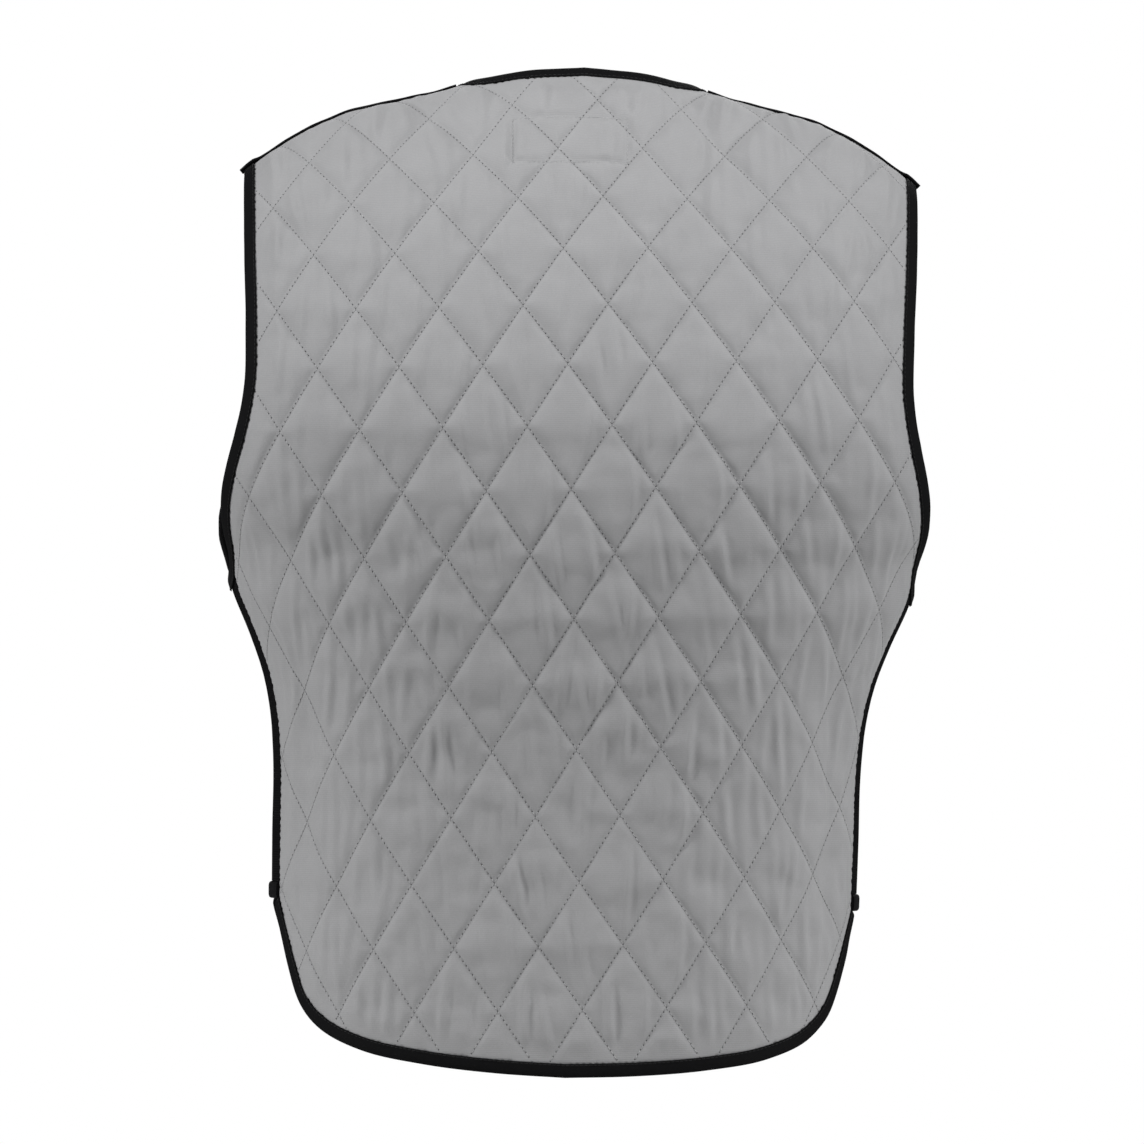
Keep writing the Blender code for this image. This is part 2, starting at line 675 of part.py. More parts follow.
def back_loop():
    """Anticlockwise loop of the back piece, its left half the mirror of its right."""
    half = join_edges(back_neck_edge(), shoulder_edge(BACK), armhole_edge(BACK), side_seam_edge(BACK),
                      hem_edge(BACK, 0.0, BACK_TAIL))
    return np.concatenate([half, mirrored(half)[1:-1]])[::-1]


def front_loop():
    """Anticlockwise loop of the front piece at +X: neckline, zip, hem, side, armhole and shoulder."""
    edge_u = front_edge_u()
    levels = np.linspace(-FRONT_TAIL, NECK_POINT, round((FRONT_TAIL + NECK_POINT) / STATION) + 1)
    zip_edge = np.stack([np.full(len(levels), edge_u), levels], axis=1)
    walk = join_edges(shoulder_edge(FRONT), armhole_edge(FRONT), side_seam_edge(FRONT),
                      hem_edge(FRONT, edge_u, FRONT_TAIL), zip_edge, front_neck_edge()[::-1])
    return walk[:-1][::-1]


def side_rows():
    return round((SIDE_BOTTOM - ARMHOLE_FOOT) / STATION) + 1


def side_grid(top_gap, bottom):
    """Cloth coordinates of the side piece, from the back seam to the front seam."""
    across = np.linspace(-SIDE_HALF + GAP / 2, SIDE_HALF - GAP / 2, SIDE_COLUMNS)
    down = np.linspace(0.0, 1.0, side_rows())
    dip = SIDE_DIP * (1 - (across / across[-1]) ** 2)
    top = -ARMHOLE_FOOT - dip - top_gap
    ws = top + (bottom - top) * down[:, None]
    us = side_length(BLADE_LEVEL + ws.ravel(), BACK).reshape(ws.shape) + across
    return us, ws


def armhole_binding(name, hand):
    """One closed ring of tape: down the back edge, under the arm, up the front edge."""
    back = armhole_edge(BACK)
    front = armhole_edge(FRONT)[::-1]
    us, ws = side_grid(0.0, -SIDE_BOTTOM)
    under = np.stack([us[0], ws[0]], axis=1)[1:-1]
    pieces = [cloth_point(edge[:, 0], edge[:, 1], side)
              for edge, side in ((back, BACK), (under, BACK), (front[:-1], FRONT))]
    points, normals = (np.concatenate(rows) for rows in zip(*pieces))
    flip = np.array([hand, 1.0, 1.0])
    return swept_binding(name, points * flip, normals * flip, hand, closed=True)


def neck_binding(name):
    """Tape from the top of the zip up one side of the V, round the nape and down the other side."""
    front = front_neck_edge()[::-1]
    back = back_neck_edge()[::-1][1:]
    front_rows = cloth_point(front[:, 0], front[:, 1], FRONT)
    back_rows = cloth_point(back[:, 0], back[:, 1], BACK)
    points, normals = (np.concatenate(rows) for rows in zip(front_rows, back_rows))
    flip = np.array([-1.0, 1.0, 1.0])
    points = np.concatenate([points, points[-2::-1] * flip])
    normals = np.concatenate([normals, normals[-2::-1] * flip])
    return swept_binding(name, points, normals, -1)


def back_hem_binding(name):
    half = hem_edge(BACK, 0.0, BACK_TAIL)
    edge = join_edges(half, mirrored(half))
    points, normals = cloth_point(edge[:, 0], edge[:, 1], BACK)
    return swept_binding(name, points, normals, 1)


def front_hem_binding(name, hand):
    edge = hem_edge(FRONT, front_edge_u(), FRONT_TAIL)
    points, normals = cloth_point(edge[:, 0], edge[:, 1], FRONT)
    flip = np.array([hand, 1.0, 1.0])
    return swept_binding(name, points * flip, normals * flip, -hand)


def shoulder_tape(name, hand):
    """Tape laid over the shoulder seam, from the neck binding to the armhole binding."""
    end_room = SEAM_TAPE_WIDTH / 2 + GAP
    u = np.linspace(NECK_HALF + 2 * GAP, shoulder_tip_u(BACK) - end_room, SEAM_POINTS)
    across = np.linspace(-0.5, 0.5, 5) * SEAM_TAPE_WIDTH
    ws = shoulder_seam_w(u, BACK)[:, None] + across
    us = np.repeat(u[:, None], len(across), axis=1)
    lift = LINE_WALL / 2 + 2 * GAP + SEAM_TAPE_WALL / 2
    return grid_piece(name, us * hand, ws, BACK, SEAM_TAPE_WALL, "black_tape", lift)


def mirrored_copy(source, name):
    """The same piece on the other side of the centre line."""
    verts = np.array([v.co for v in source.data.vertices]) * (-1, 1, 1)
    faces = [tuple(f.vertices)[::-1] for f in source.data.polygons]
    look = source.data.materials[0].name[len(source.name) + 1:]
    return make_object(name, verts, faces, look)


def box_piece(name, centre, size, look):
    half = np.array(size) / 2
    corners = np.array([(x, y, z) for x in (-1, 1) for y in (-1, 1) for z in (-1, 1)]) * half + centre
    faces = [(0, 1, 3, 2), (4, 6, 7, 5), (0, 4, 5, 1), (2, 3, 7, 6), (0, 2, 6, 4), (1, 5, 7, 3)]
    return make_object(name, corners, outward_faces(corners, faces), look)


def zip_pieces():
    """Front closure: a strip of closed teeth between two tapes, with the slider at its top."""
    levels = np.linspace(-FRONT_TAIL - BINDING_WIDTH, NECK_POINT - GAP, ZIP_ROWS)
    chain_u = np.array([-CHAIN_HALF, 0.0, CHAIN_HALF])
    tape_u = np.linspace(CHAIN_HALF + GAP, CHAIN_HALF + GAP + ZIP_TAPE_WIDTH, 3)
    columns = np.repeat(levels[:, None], 3, axis=1)
    grid_piece("zip_chain", np.repeat(chain_u[None], len(levels), axis=0), columns, FRONT,
               CHAIN_WALL, "black_zip")
    for name, hand in (("zip_tape_left", -1.0), ("zip_tape_right", 1.0)):
        us = np.repeat(tape_u[None], len(levels), axis=0) * hand
        grid_piece(name, us, columns, FRONT, ZIP_TAPE_WALL, "black_tape")
    seat_w = NECK_POINT - SLIDER_LENGTH
    seat, _ = cloth_point(np.array([0.0]), np.array([seat_w]), FRONT, CHAIN_WALL / 2 + GAP)
    middle = seat[0] + (0.0, SLIDER_WALL / 2 + SLIDER_LIFT, 0.0)
    box_piece("zip_slider", middle, (SLIDER_WIDTH, SLIDER_WALL, SLIDER_LENGTH), "zip_metal")
    drop = (0.0, SLIDER_WALL + GAP, -PULL_LENGTH / 2)
    box_piece("zip_pull", middle + drop, (PULL_WIDTH, SLIDER_WALL, PULL_LENGTH), "zip_metal")


def build():
    for obj in list(bpy.data.objects):
        bpy.data.objects.remove(obj)
    quilted_panel("back_panel", back_loop(), BACK, GRAIN_TILT, QUILT_SHIFT)
    right = quilted_panel("front_panel_right", front_loop(), FRONT, 0.0, 0.0)
    mirrored_copy(right, "front_panel_left")
    foot = -SIDE_BOTTOM
    band_top = foot + SIDE_BAND_HEIGHT
    us, ws = side_grid(GAP, band_top + GAP)
    knit = grid_piece("side_panel_right", us, ws, BACK, KNIT_WALL, "black_knit")
    mirrored_copy(knit, "side_panel_left")
    rows = np.linspace(band_top, foot, 3)
    across = np.linspace(-SIDE_HALF + GAP / 2, SIDE_HALF - GAP / 2, SIDE_COLUMNS)
    band_us = side_length(BLADE_LEVEL + rows, BACK)[:, None] + across
    band_ws = np.repeat(rows[:, None], SIDE_COLUMNS, axis=1)
    band = grid_piece("side_band_right", band_us, band_ws, BACK, SIDE_BAND_WALL, "black_tape")
    mirrored_copy(band, "side_band_left")
    for label, hand in (("left", -1.0), ("right", 1.0)):
        armhole_binding("armhole_binding_" + label, hand)
        shoulder_tape("shoulder_binding_" + label, hand)
        front_hem_binding("front_hem_binding_" + label, hand)
    back_hem_binding("back_hem_binding")
    neck_binding("neck_binding")
    zip_pieces()


build()
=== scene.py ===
# %% [markdown]
# # A quilted cooling vest, seen from behind
#
# A cooling vest is soaked in water and worn wet: its padded filling holds the water, and drying cloth
# cools the wearer. This one is sleeveless, of grey woven cloth quilted in tall diamonds, with black
# stretch sides and black tape bound round every edge. It keeps the rounded form that it has when worn.
#
# The lesson works as a tailor does. Each piece of cloth has flat coordinates, u round the body and w up
# it, and one function lays those coordinates on the body's form. Quilting, seams, tapes and stitches
# are all drawn flat in u and w, and then laid on the form together.
#
# The measured model comes first and never moves. Every new piece is placed by its sizes.

# %% Load the measured model
import math

import bmesh
import bpy
import numpy as np
from mathutils import Matrix, Vector
from mathutils.geometry import delaunay_2d_cdt


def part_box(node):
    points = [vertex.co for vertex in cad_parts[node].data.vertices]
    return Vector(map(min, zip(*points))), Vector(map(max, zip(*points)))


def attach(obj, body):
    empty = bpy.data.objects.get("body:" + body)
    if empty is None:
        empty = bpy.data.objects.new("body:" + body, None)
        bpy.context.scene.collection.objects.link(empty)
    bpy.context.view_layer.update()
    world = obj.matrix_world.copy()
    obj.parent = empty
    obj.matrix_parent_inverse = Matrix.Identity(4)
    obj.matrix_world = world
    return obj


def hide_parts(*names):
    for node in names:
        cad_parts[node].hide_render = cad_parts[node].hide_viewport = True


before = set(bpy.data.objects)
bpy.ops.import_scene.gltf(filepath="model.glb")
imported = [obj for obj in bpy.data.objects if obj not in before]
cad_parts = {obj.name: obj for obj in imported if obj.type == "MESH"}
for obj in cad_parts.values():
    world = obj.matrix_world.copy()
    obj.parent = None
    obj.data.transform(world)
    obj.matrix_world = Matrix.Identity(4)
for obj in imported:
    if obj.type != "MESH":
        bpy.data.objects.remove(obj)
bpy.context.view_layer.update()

MM = 0.001

# %% [markdown]
# ## Camera, floor and light
#
# A long lens from far away keeps the two sides of the vest nearly parallel, as in a catalogue
# picture. The camera looks from a little to the left, which shows more of the left side piece, and is
# rolled slightly. A high and a low soft box stand on each side, so the quilting throws soft shadows
# both ways. A small box lights the shoulders from above, and a large one stands behind.

# %% Camera
VIEW_WIDTH = 0.7493          # metres across the picture, at the vest
VIEW_DISTANCE = 16.0
VIEW_CENTRE = Vector((0.0004, 0.0, -0.3183))
VIEW_TURN = math.radians(1.6)
VIEW_ROLL = math.radians(-1.3)


def in_scene(name, data):
    """New object that shows some data in the scene."""
    obj = bpy.data.objects.new(name, data)
    bpy.context.scene.collection.objects.link(obj)
    return obj


def aim(obj, place, target, roll=0.0):
    """Put a camera or light at a place, looking along the line to its target."""
    look = (target - place).normalized()
    turn = Matrix.Rotation(roll, 4, look) @ look.to_track_quat("-Z", "Y").to_matrix().to_4x4()
    obj.matrix_world = Matrix.Translation(place) @ turn


camera_data = bpy.data.cameras.new("camera")
camera_data.sensor_width = 36.0
camera_data.lens = camera_data.sensor_width * VIEW_DISTANCE / VIEW_WIDTH
camera_data.clip_end = 50.0
camera = in_scene("camera", camera_data)
bpy.context.scene.camera = camera
stand = Vector((-math.sin(VIEW_TURN), -math.cos(VIEW_TURN), 0.0)) * VIEW_DISTANCE
aim(camera, VIEW_CENTRE + stand, VIEW_CENTRE, VIEW_ROLL)
print("lens", round(camera_data.lens, 1), "mm")

# %% Materials: one function adds a node, one turns a hex colour to linear
def linear(hex_colour):
    """sRGB hex to linear light: divide by 12.92 when dark, else raise (c + 0.055) / 1.055 to 2.4."""
    c = np.array([int(hex_colour[k:k + 2], 16) / 255 for k in (1, 3, 5)])
    return (*np.where(c <= 0.04045, c / 12.92, ((c + 0.055) / 1.055) ** 2.4).tolist(), 1.0)


def add(tree, kind, links=None, **settings):
    """Add a node. links names its inputs and what feeds each: another node's output, or a value."""
    node = tree.nodes.new(kind)
    for key, value in settings.items():
        setattr(node, key, value)
    for key, source in (links or {}).items():
        if isinstance(source, bpy.types.NodeSocket):
            tree.links.new(source, node.inputs[key])
        else:
            node.inputs[key].default_value = source
    return node


def new_material(name, roughness, **sockets):
    """Material with a Principled shader; returns the material, its node tree and the shader."""
    material = bpy.data.materials.new(name)
    material.use_nodes = True
    shader = material.node_tree.nodes["Principled BSDF"]
    shader.inputs["Roughness"].default_value = roughness
    for socket, value in sockets.items():
        shader.inputs[socket.replace("_", " ")].default_value = value
    return material, material.node_tree, shader


# %% Floor, world and lights
FLOOR_LEVEL = -0.80
LIGHT_TARGET = Vector((0.0, 0.0, -0.30))        # the middle of the vest
bpy.ops.mesh.primitive_circle_add(vertices=96, radius=0.85, fill_type="NGON", location=(0, 0, FLOOR_LEVEL))
floor = bpy.context.object
floor.name = "floor"
floor.data.materials.append(new_material("painted_board", 0.9, Base_Color=linear("#DCDCDA"))[0])

world = bpy.data.worlds.new("studio")
bpy.context.scene.world = world
bpy.context.scene.view_settings.view_transform = "Standard"
world.use_nodes = True
backing = world.node_tree
paper = backing.nodes["Background"]
paper.inputs["Color"].default_value = linear("#FFFFFF")
fill = add(backing, "ShaderNodeBackground", {"Color": linear("#FBFCFF"), "Strength": 0.19})
seen = add(backing, "ShaderNodeLightPath").outputs["Is Camera Ray"]
both = add(backing, "ShaderNodeMixShader", {0: seen, 1: fill.outputs[0], 2: paper.outputs[0]})
backing.links.new(both.outputs[0], backing.nodes["World Output"].inputs["Surface"])


def soft_light(name, place, size, watts):
    """Square area light aimed at the middle of the vest."""
    data = bpy.data.lights.new(name, "AREA")
    data.shape = "SQUARE"
    data.size = size
    data.energy = watts
    aim(in_scene(name, data), Vector(place), LIGHT_TARGET)
    print(name, watts, "W at", place)


for hand, title in ((-1.0, "left"), (1.0, "right")):
    soft_light(title + "_high_box", (hand * 1.9, -1.3, 1.7), 0.5, 32.0)
    soft_light(title + "_low_box", (hand * 2.4, -0.8, -0.3), 0.5, 29.0)
soft_light("top_box", (0.0, -0.66, 0.60), 0.30, 4.6)
soft_light("behind", (0.3, 2.4, 1.2), 1.5, 20.0)

# %% [markdown]
# ## The body's form and the flat coordinates
#
# A worn vest is a soft tube with two holes for the arms. Its form is a stack of rounded sections from
# the hem up to the shoulder blades, and above them a rounding up to the shoulder line and down the
# other side. The tables below are the same as those of the measured model, so that every stitch lands
# on the cloth that it belongs to.

# %% Sizes of the vest
VEST_LENGTH = 640 * MM       # neck and shoulder point down to the grey cloth's hem
BLADE_LEVEL = -230 * MM      # height of the shoulder blades, where the rounding over the shoulder begins
CHEST_HALF_WIDTH = 231 * MM  # half the form's width at the foot of the armhole
BACK_DEPTH = 145 * MM        # centre line plane to the back at the shoulder blades
FRONT_DEPTH = 130 * MM       # centre line plane to the chest
SHOULDER_HALF = 216 * MM     # half the width over the shoulder tips
SHOULDER_DROP = 58 * MM      # fall of the shoulder line from neck to tip
NAPE_RISE = 27 * MM          # height that the shoulder ridge would reach at the centre line

# Pattern pieces
NECK_HALF = 81 * MM          # centre line to the neck end of the shoulder seam
BACK_NECK_TOP = 265 * MM     # top of the back piece at the centre line, above BLADE_LEVEL
ARMHOLE_WIDTH = 221 * MM     # centre line to the armhole edge, measured round the cloth
ARMHOLE_FOOT = 95 * MM       # foot of the armhole, below BLADE_LEVEL
SIDE_HALF = 30 * MM          # half the width of the stretch side piece
SIDE_BOTTOM = 306 * MM       # foot of the side piece, below BLADE_LEVEL
SIDE_DIP = 9 * MM            # how far the armhole's edge dips at the middle of the side piece
BACK_TAIL = 410 * MM         # foot of the back piece, below BLADE_LEVEL
FRONT_TAIL = 368 * MM        # foot of a front piece, below BLADE_LEVEL
NECK_POINT = 42 * MM         # top of the zip, above BLADE_LEVEL
SEAM_FORWARD = 7 * MM        # shoulder seam's distance in front of the shoulder ridge

# Cloth, quilting and trim
LINE_WALL = 2.2 * MM         # thickness along a stitched line
INNER_PUFF = 0.9 * MM        # rise of the padding inside
DIAMOND_WIDTH = 55 * MM
DIAMOND_HEIGHT = 86 * MM
GRAIN_TILT = 2.6             # degrees that the quilting leans on the back piece
QUILT_START = -34 * MM       # height of one row of crossings, from BLADE_LEVEL
QUILT_SHIFT = -5.4 * MM      # that row's middle crossing on the back piece, from the centre line
SOFT_SHARE = 0.1             # share of a diamond's width over which the padding rises from a line
GAP = 0.3 * MM
BINDING_WIDTH = 7 * MM
BINDING_WALL = 4.2 * MM
SEAM_TAPE_WIDTH = 9 * MM
SEAM_TAPE_WALL = 1.8 * MM
KNIT_WALL = 1.6 * MM
SIDE_BAND_HEIGHT = 11 * MM
SIDE_BAND_WALL = 5 * MM
ZIP_TAPE_WIDTH = 9 * MM
ZIP_TAPE_WALL = 1.2 * MM
CHAIN_HALF = 2.6 * MM
SLIDER_LENGTH = 11 * MM
SLIDER_WIDTH = 9 * MM
SLIDER_WALL = 1.4 * MM
PULL_LENGTH = 26 * MM
PULL_WIDTH = 6 * MM
STATION = 4 * MM             # spacing of the points along an edge
SEAM_POINTS = 12             # points along the shoulder seam

BACK, FRONT = -1.0, 1.0
QUARTER_STEPS = 97           # points along a quarter of a section

# Form sections. Level is a share of VEST_LENGTH down from the origin, the others are shares of
# CHEST_HALF_WIDTH, BACK_DEPTH and FRONT_DEPTH. Above the shoulder blades the first row holds.
SECTIONS = np.array([
    # level, half_width, back, front
    (0.3, 1.164, 1.0, 0.955), (0.359, 1.164, 1.0, 0.962), (0.402, 1.138, 1.0, 0.977),
    (0.444, 1.069, 0.993, 0.985), (0.484, 0.992, 0.972, 1.0), (0.527, 0.953, 0.945, 1.0),
    (0.567, 0.905, 0.917, 0.992), (0.608, 0.864, 0.89, 0.985), (0.648, 0.841, 0.862, 0.962),
    (0.689, 0.831, 0.834, 0.938), (0.772, 0.828, 0.807, 0.923), (0.875, 0.823, 0.807, 0.954),
    (1.016, 0.81, 0.821, 0.985),
])
ROUNDNESS = {BACK: 2.2, FRONT: 2.3}      # exponent of each half of a section
CROWN = {BACK: 1.55, FRONT: 1.7}         # and of the rounding from the shoulder blades up to the ridge

# Shoulder ridge. Out is a share of SHOULDER_HALF, drop a share of SHOULDER_DROP.
RIDGE = np.array([
    # out, drop
    (0.324, -0.026), (0.505, 0.195), (0.731, 0.42), (0.852, 0.645), (0.944, 0.865), (1.0, 1.025),
    (1.111, 1.46), (1.25, 2.069),
])

# Back armhole edge from the shoulder down: level is a share of the armhole's depth (1 at its foot,
# 0 at the shoulder blades, negative above), out a share of ARMHOLE_WIDTH.
BACK_ARMHOLE = np.array([
    # level, out
    (-1.8, 1.009), (-1.3, 1.005), (-0.71, 0.996), (-0.3, 0.998), (0.02, 1.026), (0.28, 1.066),
    (0.57, 1.119), (0.84, 1.163),
])
FRONT_ARMHOLE = np.array([
    # level, out
    (-1.8, 0.955), (-1.3, 0.905), (-0.71, 0.875), (-0.3, 0.89), (0.02, 0.935), (0.35, 1.02),
    (0.68, 1.12), (0.88, 1.185),
])

# Hem of the back piece, from the side piece to the centre line: out is a share of the side seam's
# distance from the centre line, fall a share of the way from SIDE_BOTTOM down to the tail.
BACK_HEM = np.array([
    # out, fall
    (0.966, 0.12), (0.915, 0.34), (0.838, 0.62), (0.762, 0.745), (0.62, 0.862), (0.43, 0.935),
    (0.2, 0.982),
])
FRONT_HEM = np.array([
    # out, fall
    (0.965, 0.12), (0.9, 0.36), (0.8, 0.66), (0.66, 0.84), (0.45, 0.95), (0.23, 0.99),
])

# Back neckline from the centre line: out is a share of NECK_HALF, rise a share of the way up to the seam.
BACK_NECK = np.array([
    # out, rise
    (0.25, 0.0), (0.52, 0.05), (0.78, 0.23), (0.94, 0.6),
])
# Front neckline from the seam down to the zip, as shares of NECK_HALF and of the way down.
FRONT_NECK = np.array([
    # out, fall
    (0.915, 0.14), (0.74, 0.37), (0.525, 0.64), (0.315, 0.875),
])

# The quilting is eased in where the cloth rounds over the shoulders. Row counts diamonds up from
# QUILT_START, and height is a share of DIAMOND_HEIGHT above it.
QUILT_ROWS = np.array([
    # row, height
    (-5.0, -4.93), (-4.0, -3.94), (-3.0, -2.97), (-2.0, -1.97), (-1.0, -0.98), (0.0, 0.0),
    (1.0, 0.95), (2.0, 1.87), (3.0, 2.74), (4.0, 3.66),
])

# Soft hollows that the hanging cloth keeps on the back. Side is -1 on the left of the origin, out and
# width are shares of DIAMOND_WIDTH, top and foot shares of BACK_TAIL, lean is the sideways drift.
FOLDS = np.array([
    # side, out, lean, top, foot, width, depth
    (-1, 3.35, 0.1, -0.2, -0.98, 0.26, 0.55), (-1, 2.7, 0.15, -0.55, -1.02, 0.22, 0.35),
    (1, 3.35, -0.2, -0.15, -0.98, 0.26, 0.55), (1, 2.6, 0.1, -0.5, -1.0, 0.22, 0.3),
    (-1, 1.6, 0.45, 0.72, 0.45, 0.2, 0.35), (1, 1.45, 0.25, 0.72, 0.38, 0.2, 0.4),
])
FOLD_DEPTH = 5 * MM

# %% Curves through the tables, and the form's sections
def smooth_table(x, xs, ys):
    """Cubic curve through a table's rows, with each slope the average of its two neighbours'."""
    steps = np.diff(xs)
    slopes = np.diff(ys) / steps
    tangent = np.empty(len(xs))
    tangent[1:-1] = (slopes[1:] * steps[:-1] + slopes[:-1] * steps[1:]) / (xs[2:] - xs[:-2])
    tangent[[0, -1]] = slopes[[0, -1]]
    i = np.clip(np.searchsorted(xs, x) - 1, 0, len(xs) - 2)
    h = xs[i + 1] - xs[i]
    t = np.clip((x - xs[i]) / h, 0.0, 1.0)
    return ((1 + 2 * t) * (1 - t) ** 2 * ys[i] + t * (1 - t) ** 2 * h * tangent[i]
            + t * t * (3 - 2 * t) * ys[i + 1] + t * t * (t - 1) * h * tangent[i + 1])


def half_width(z):
    """Half the width of the form's section at each height."""
    return CHEST_HALF_WIDTH * smooth_table(-z / VEST_LENGTH, SECTIONS[:, 0], SECTIONS[:, 1])


def depth(z, side):
    """Depth of the form's section at each height, from the centre line plane to its back or front."""
    column, size = (2, BACK_DEPTH) if side == BACK else (3, FRONT_DEPTH)
    return size * smooth_table(-z / VEST_LENGTH, SECTIONS[:, 0], SECTIONS[:, column])


def ridge_height(x):
    """Height of the shoulder line above the origin, x metres out from the centre line."""
    out = np.concatenate([[0.0, 0.162], RIDGE[:, 0]])
    drop = np.concatenate([[-NAPE_RISE / SHOULDER_DROP, -0.74 * NAPE_RISE / SHOULDER_DROP], RIDGE[:, 1]])
    return -SHOULDER_DROP * smooth_table(np.abs(x) / SHOULDER_HALF, out, drop)


def quarter_curve(across, along, exponent):
    """Points and running length of the quarter curve |p/across|^n + |q/along|^n = 1, from q = along."""
    t = np.linspace(0.0, math.pi / 2, QUARTER_STEPS)
    p = across[:, None] * np.sin(t) ** (2 / exponent)
    q = along[:, None] * np.cos(t) ** (2 / exponent)
    steps = np.hypot(np.diff(p), np.diff(q))
    length = np.concatenate([np.zeros((len(across), 1)), np.cumsum(steps, axis=1)], axis=1)
    return p, q, length


def read_rows(key, keys, *values):
    """Linear reading of each row's values where its keys reach that row's key."""
    i = np.clip((keys < key[:, None]).sum(axis=1) - 1, 0, keys.shape[1] - 2)
    row = np.arange(len(key))
    part = np.clip((key - keys[row, i]) / (keys[row, i + 1] - keys[row, i]), 0.0, 1.0)
    return [v[row, i] + part * (v[row, i + 1] - v[row, i]) for v in values]


def section_curve(z, side):
    """Back or front quarter of the form's section at each height, from the centre line outwards."""
    return quarter_curve(half_width(z), depth(z, side), ROUNDNESS[side])


def side_length(z, side):
    """Length round the section from the centre line to the side line, at each height."""
    return section_curve(z, side)[2][:, -1]


def crown_curve(x, side):
    """The rise from BLADE_LEVEL up to the shoulder ridge, x metres out: heights, depths, lengths."""
    exponent = ROUNDNESS[side]
    level = np.full(len(x), BLADE_LEVEL)
    share = np.clip(np.abs(x) / half_width(level), 0.0, 1.0)
    at_blade = depth(level, side) * (1 - share ** exponent) ** (1 / exponent)
    return quarter_curve(ridge_height(x) - BLADE_LEVEL, at_blade, CROWN[side])


def crown_length(u, side):
    """Length of cloth from BLADE_LEVEL up to the shoulder ridge, u metres round from the centre line."""
    x = out_at_blade(np.abs(u), side)
    return crown_curve(x, side)[2][:, -1]


def out_at_blade(u, side):
    """Distance from the centre plane at BLADE_LEVEL, which cloth above that level keeps."""
    x, _, length = section_curve(np.full(len(u), BLADE_LEVEL), side)
    return read_rows(u, length, x)[0]


def on_round(run, near, far):
    """Read a curve at a running length. Past its end, go on along the other side's curve."""
    first, deep, length = near
    first_far, deep_far, length_far = far
    past = run - length[:, -1]
    a, b = read_rows(run, length, first, deep)
    c, d = read_rows(length_far[:, -1] - past, length_far, first_far, deep_far)
    return np.where(past > 0, c, a), np.where(past > 0, -d, b)


def form_point(u, w, side):
    """Place cloth coordinates on the form. Past the side or the ridge they go on over the other side."""
    z_low = BLADE_LEVEL + np.minimum(w, 0.0)
    x_low, y_low = on_round(np.abs(u), section_curve(z_low, side), section_curve(z_low, -side))
    x_up = out_at_blade(np.abs(u), side)
    z_up, y_up = on_round(np.maximum(w, 0.0), crown_curve(x_up, side), crown_curve(x_up, -side))
    x, y, z = np.where(w > 0, (x_up, y_up, z_up + BLADE_LEVEL), (x_low, y_low, z_low))
    return np.stack([x * np.sign(u), y * side, z], axis=1)


def fold_depth(u, w, side):
    """Soft hollows of the back: each is a valley of bell section that fades out at both ends."""
    total = np.zeros(len(u))
    if side == FRONT:
        return total
    for hand, out, lean, top, foot, width, deep in FOLDS:
        along = np.clip((w / BACK_TAIL - top) / (foot - top), 0.0, 1.0)
        middle = hand * (out + lean * along) * DIAMOND_WIDTH
        bell = np.exp(-((u - middle) / (width * DIAMOND_WIDTH)) ** 2)
        total += deep * FOLD_DEPTH * bell * np.sin(math.pi * along) ** 1.5
    return total

# %% [markdown]
# ## Laying flat cloth on the form
#
# Working out the form for every stitch would be slow, so it is worked out once on an even grid of
# flat coordinates. Anything else is read from that grid with a smooth cubic through four points each
# way, which also gives the cloth's slope and so its outward direction.

# %% The form on a grid, and reading it
TABLE_STEP = 4 * MM
TABLE_REACH = 372 * MM
TABLE_FOOT = -436 * MM
TABLE_TOP = 332 * MM


def unit(vectors):
    """The same directions, one metre long."""
    return vectors / np.maximum(np.linalg.norm(vectors, axis=-1, keepdims=True), 1e-12)


def form_grid(side):
    """Form positions on the even grid, sunk by the hollows along the form's own outward direction."""
    u = np.arange(-TABLE_REACH, TABLE_REACH + TABLE_STEP / 2, TABLE_STEP)
    w = np.arange(TABLE_FOOT, TABLE_TOP + TABLE_STEP / 2, TABLE_STEP)
    uu, ww = (grid.ravel() for grid in np.meshgrid(u, w, indexing="ij"))
    points = form_point(uu, ww, side).reshape(len(u), len(w), 3)
    outward = unit(np.cross(np.gradient(points, axis=0), np.gradient(points, axis=1)) * -side)
    return points - outward * fold_depth(uu, ww, side).reshape(len(u), len(w), 1)


FORM = {side: form_grid(side) for side in (BACK, FRONT)}


def cubic_weights(t):
    """Weights of the four neighbours of a place t between the middle two, and the weights' slopes."""
    value = np.stack([-t + 2 * t ** 2 - t ** 3, 2 - 5 * t ** 2 + 3 * t ** 3,
                      t + 4 * t ** 2 - 3 * t ** 3, -t ** 2 + t ** 3]) / 2
    slope = np.stack([-1 + 4 * t - 3 * t ** 2, -10 * t + 9 * t ** 2,
                      1 + 8 * t - 9 * t ** 2, -2 * t + 3 * t ** 2]) / 2
    return value, slope


def cloth_point(u, w, side, lift=0.0):
    """Point of the draped cloth, lifted along its own outward direction, and that direction."""
    grid = FORM[side]
    a = (np.asarray(u, dtype=float) + TABLE_REACH) / TABLE_STEP
    b = (np.asarray(w, dtype=float) - TABLE_FOOT) / TABLE_STEP
    i = np.clip(np.floor(a).astype(int), 1, grid.shape[0] - 3)
    j = np.clip(np.floor(b).astype(int), 1, grid.shape[1] - 3)
    value_u, slope_u = cubic_weights(a - i)
    value_w, slope_w = cubic_weights(b - j)
    point, across, upward = (np.zeros((len(a), 3)) for _ in range(3))
    for m in range(4):
        for n in range(4):
            corner = grid[i + m - 1, j + n - 1]
            point += corner * (value_u[m] * value_w[n])[:, None]
            across += corner * (slope_u[m] * value_w[n])[:, None]
            upward += corner * (value_u[m] * slope_w[n])[:, None]
    outward = unit(np.cross(across, upward) * -side)
    return point + outward * np.asarray(lift, dtype=float).reshape(-1, 1), outward


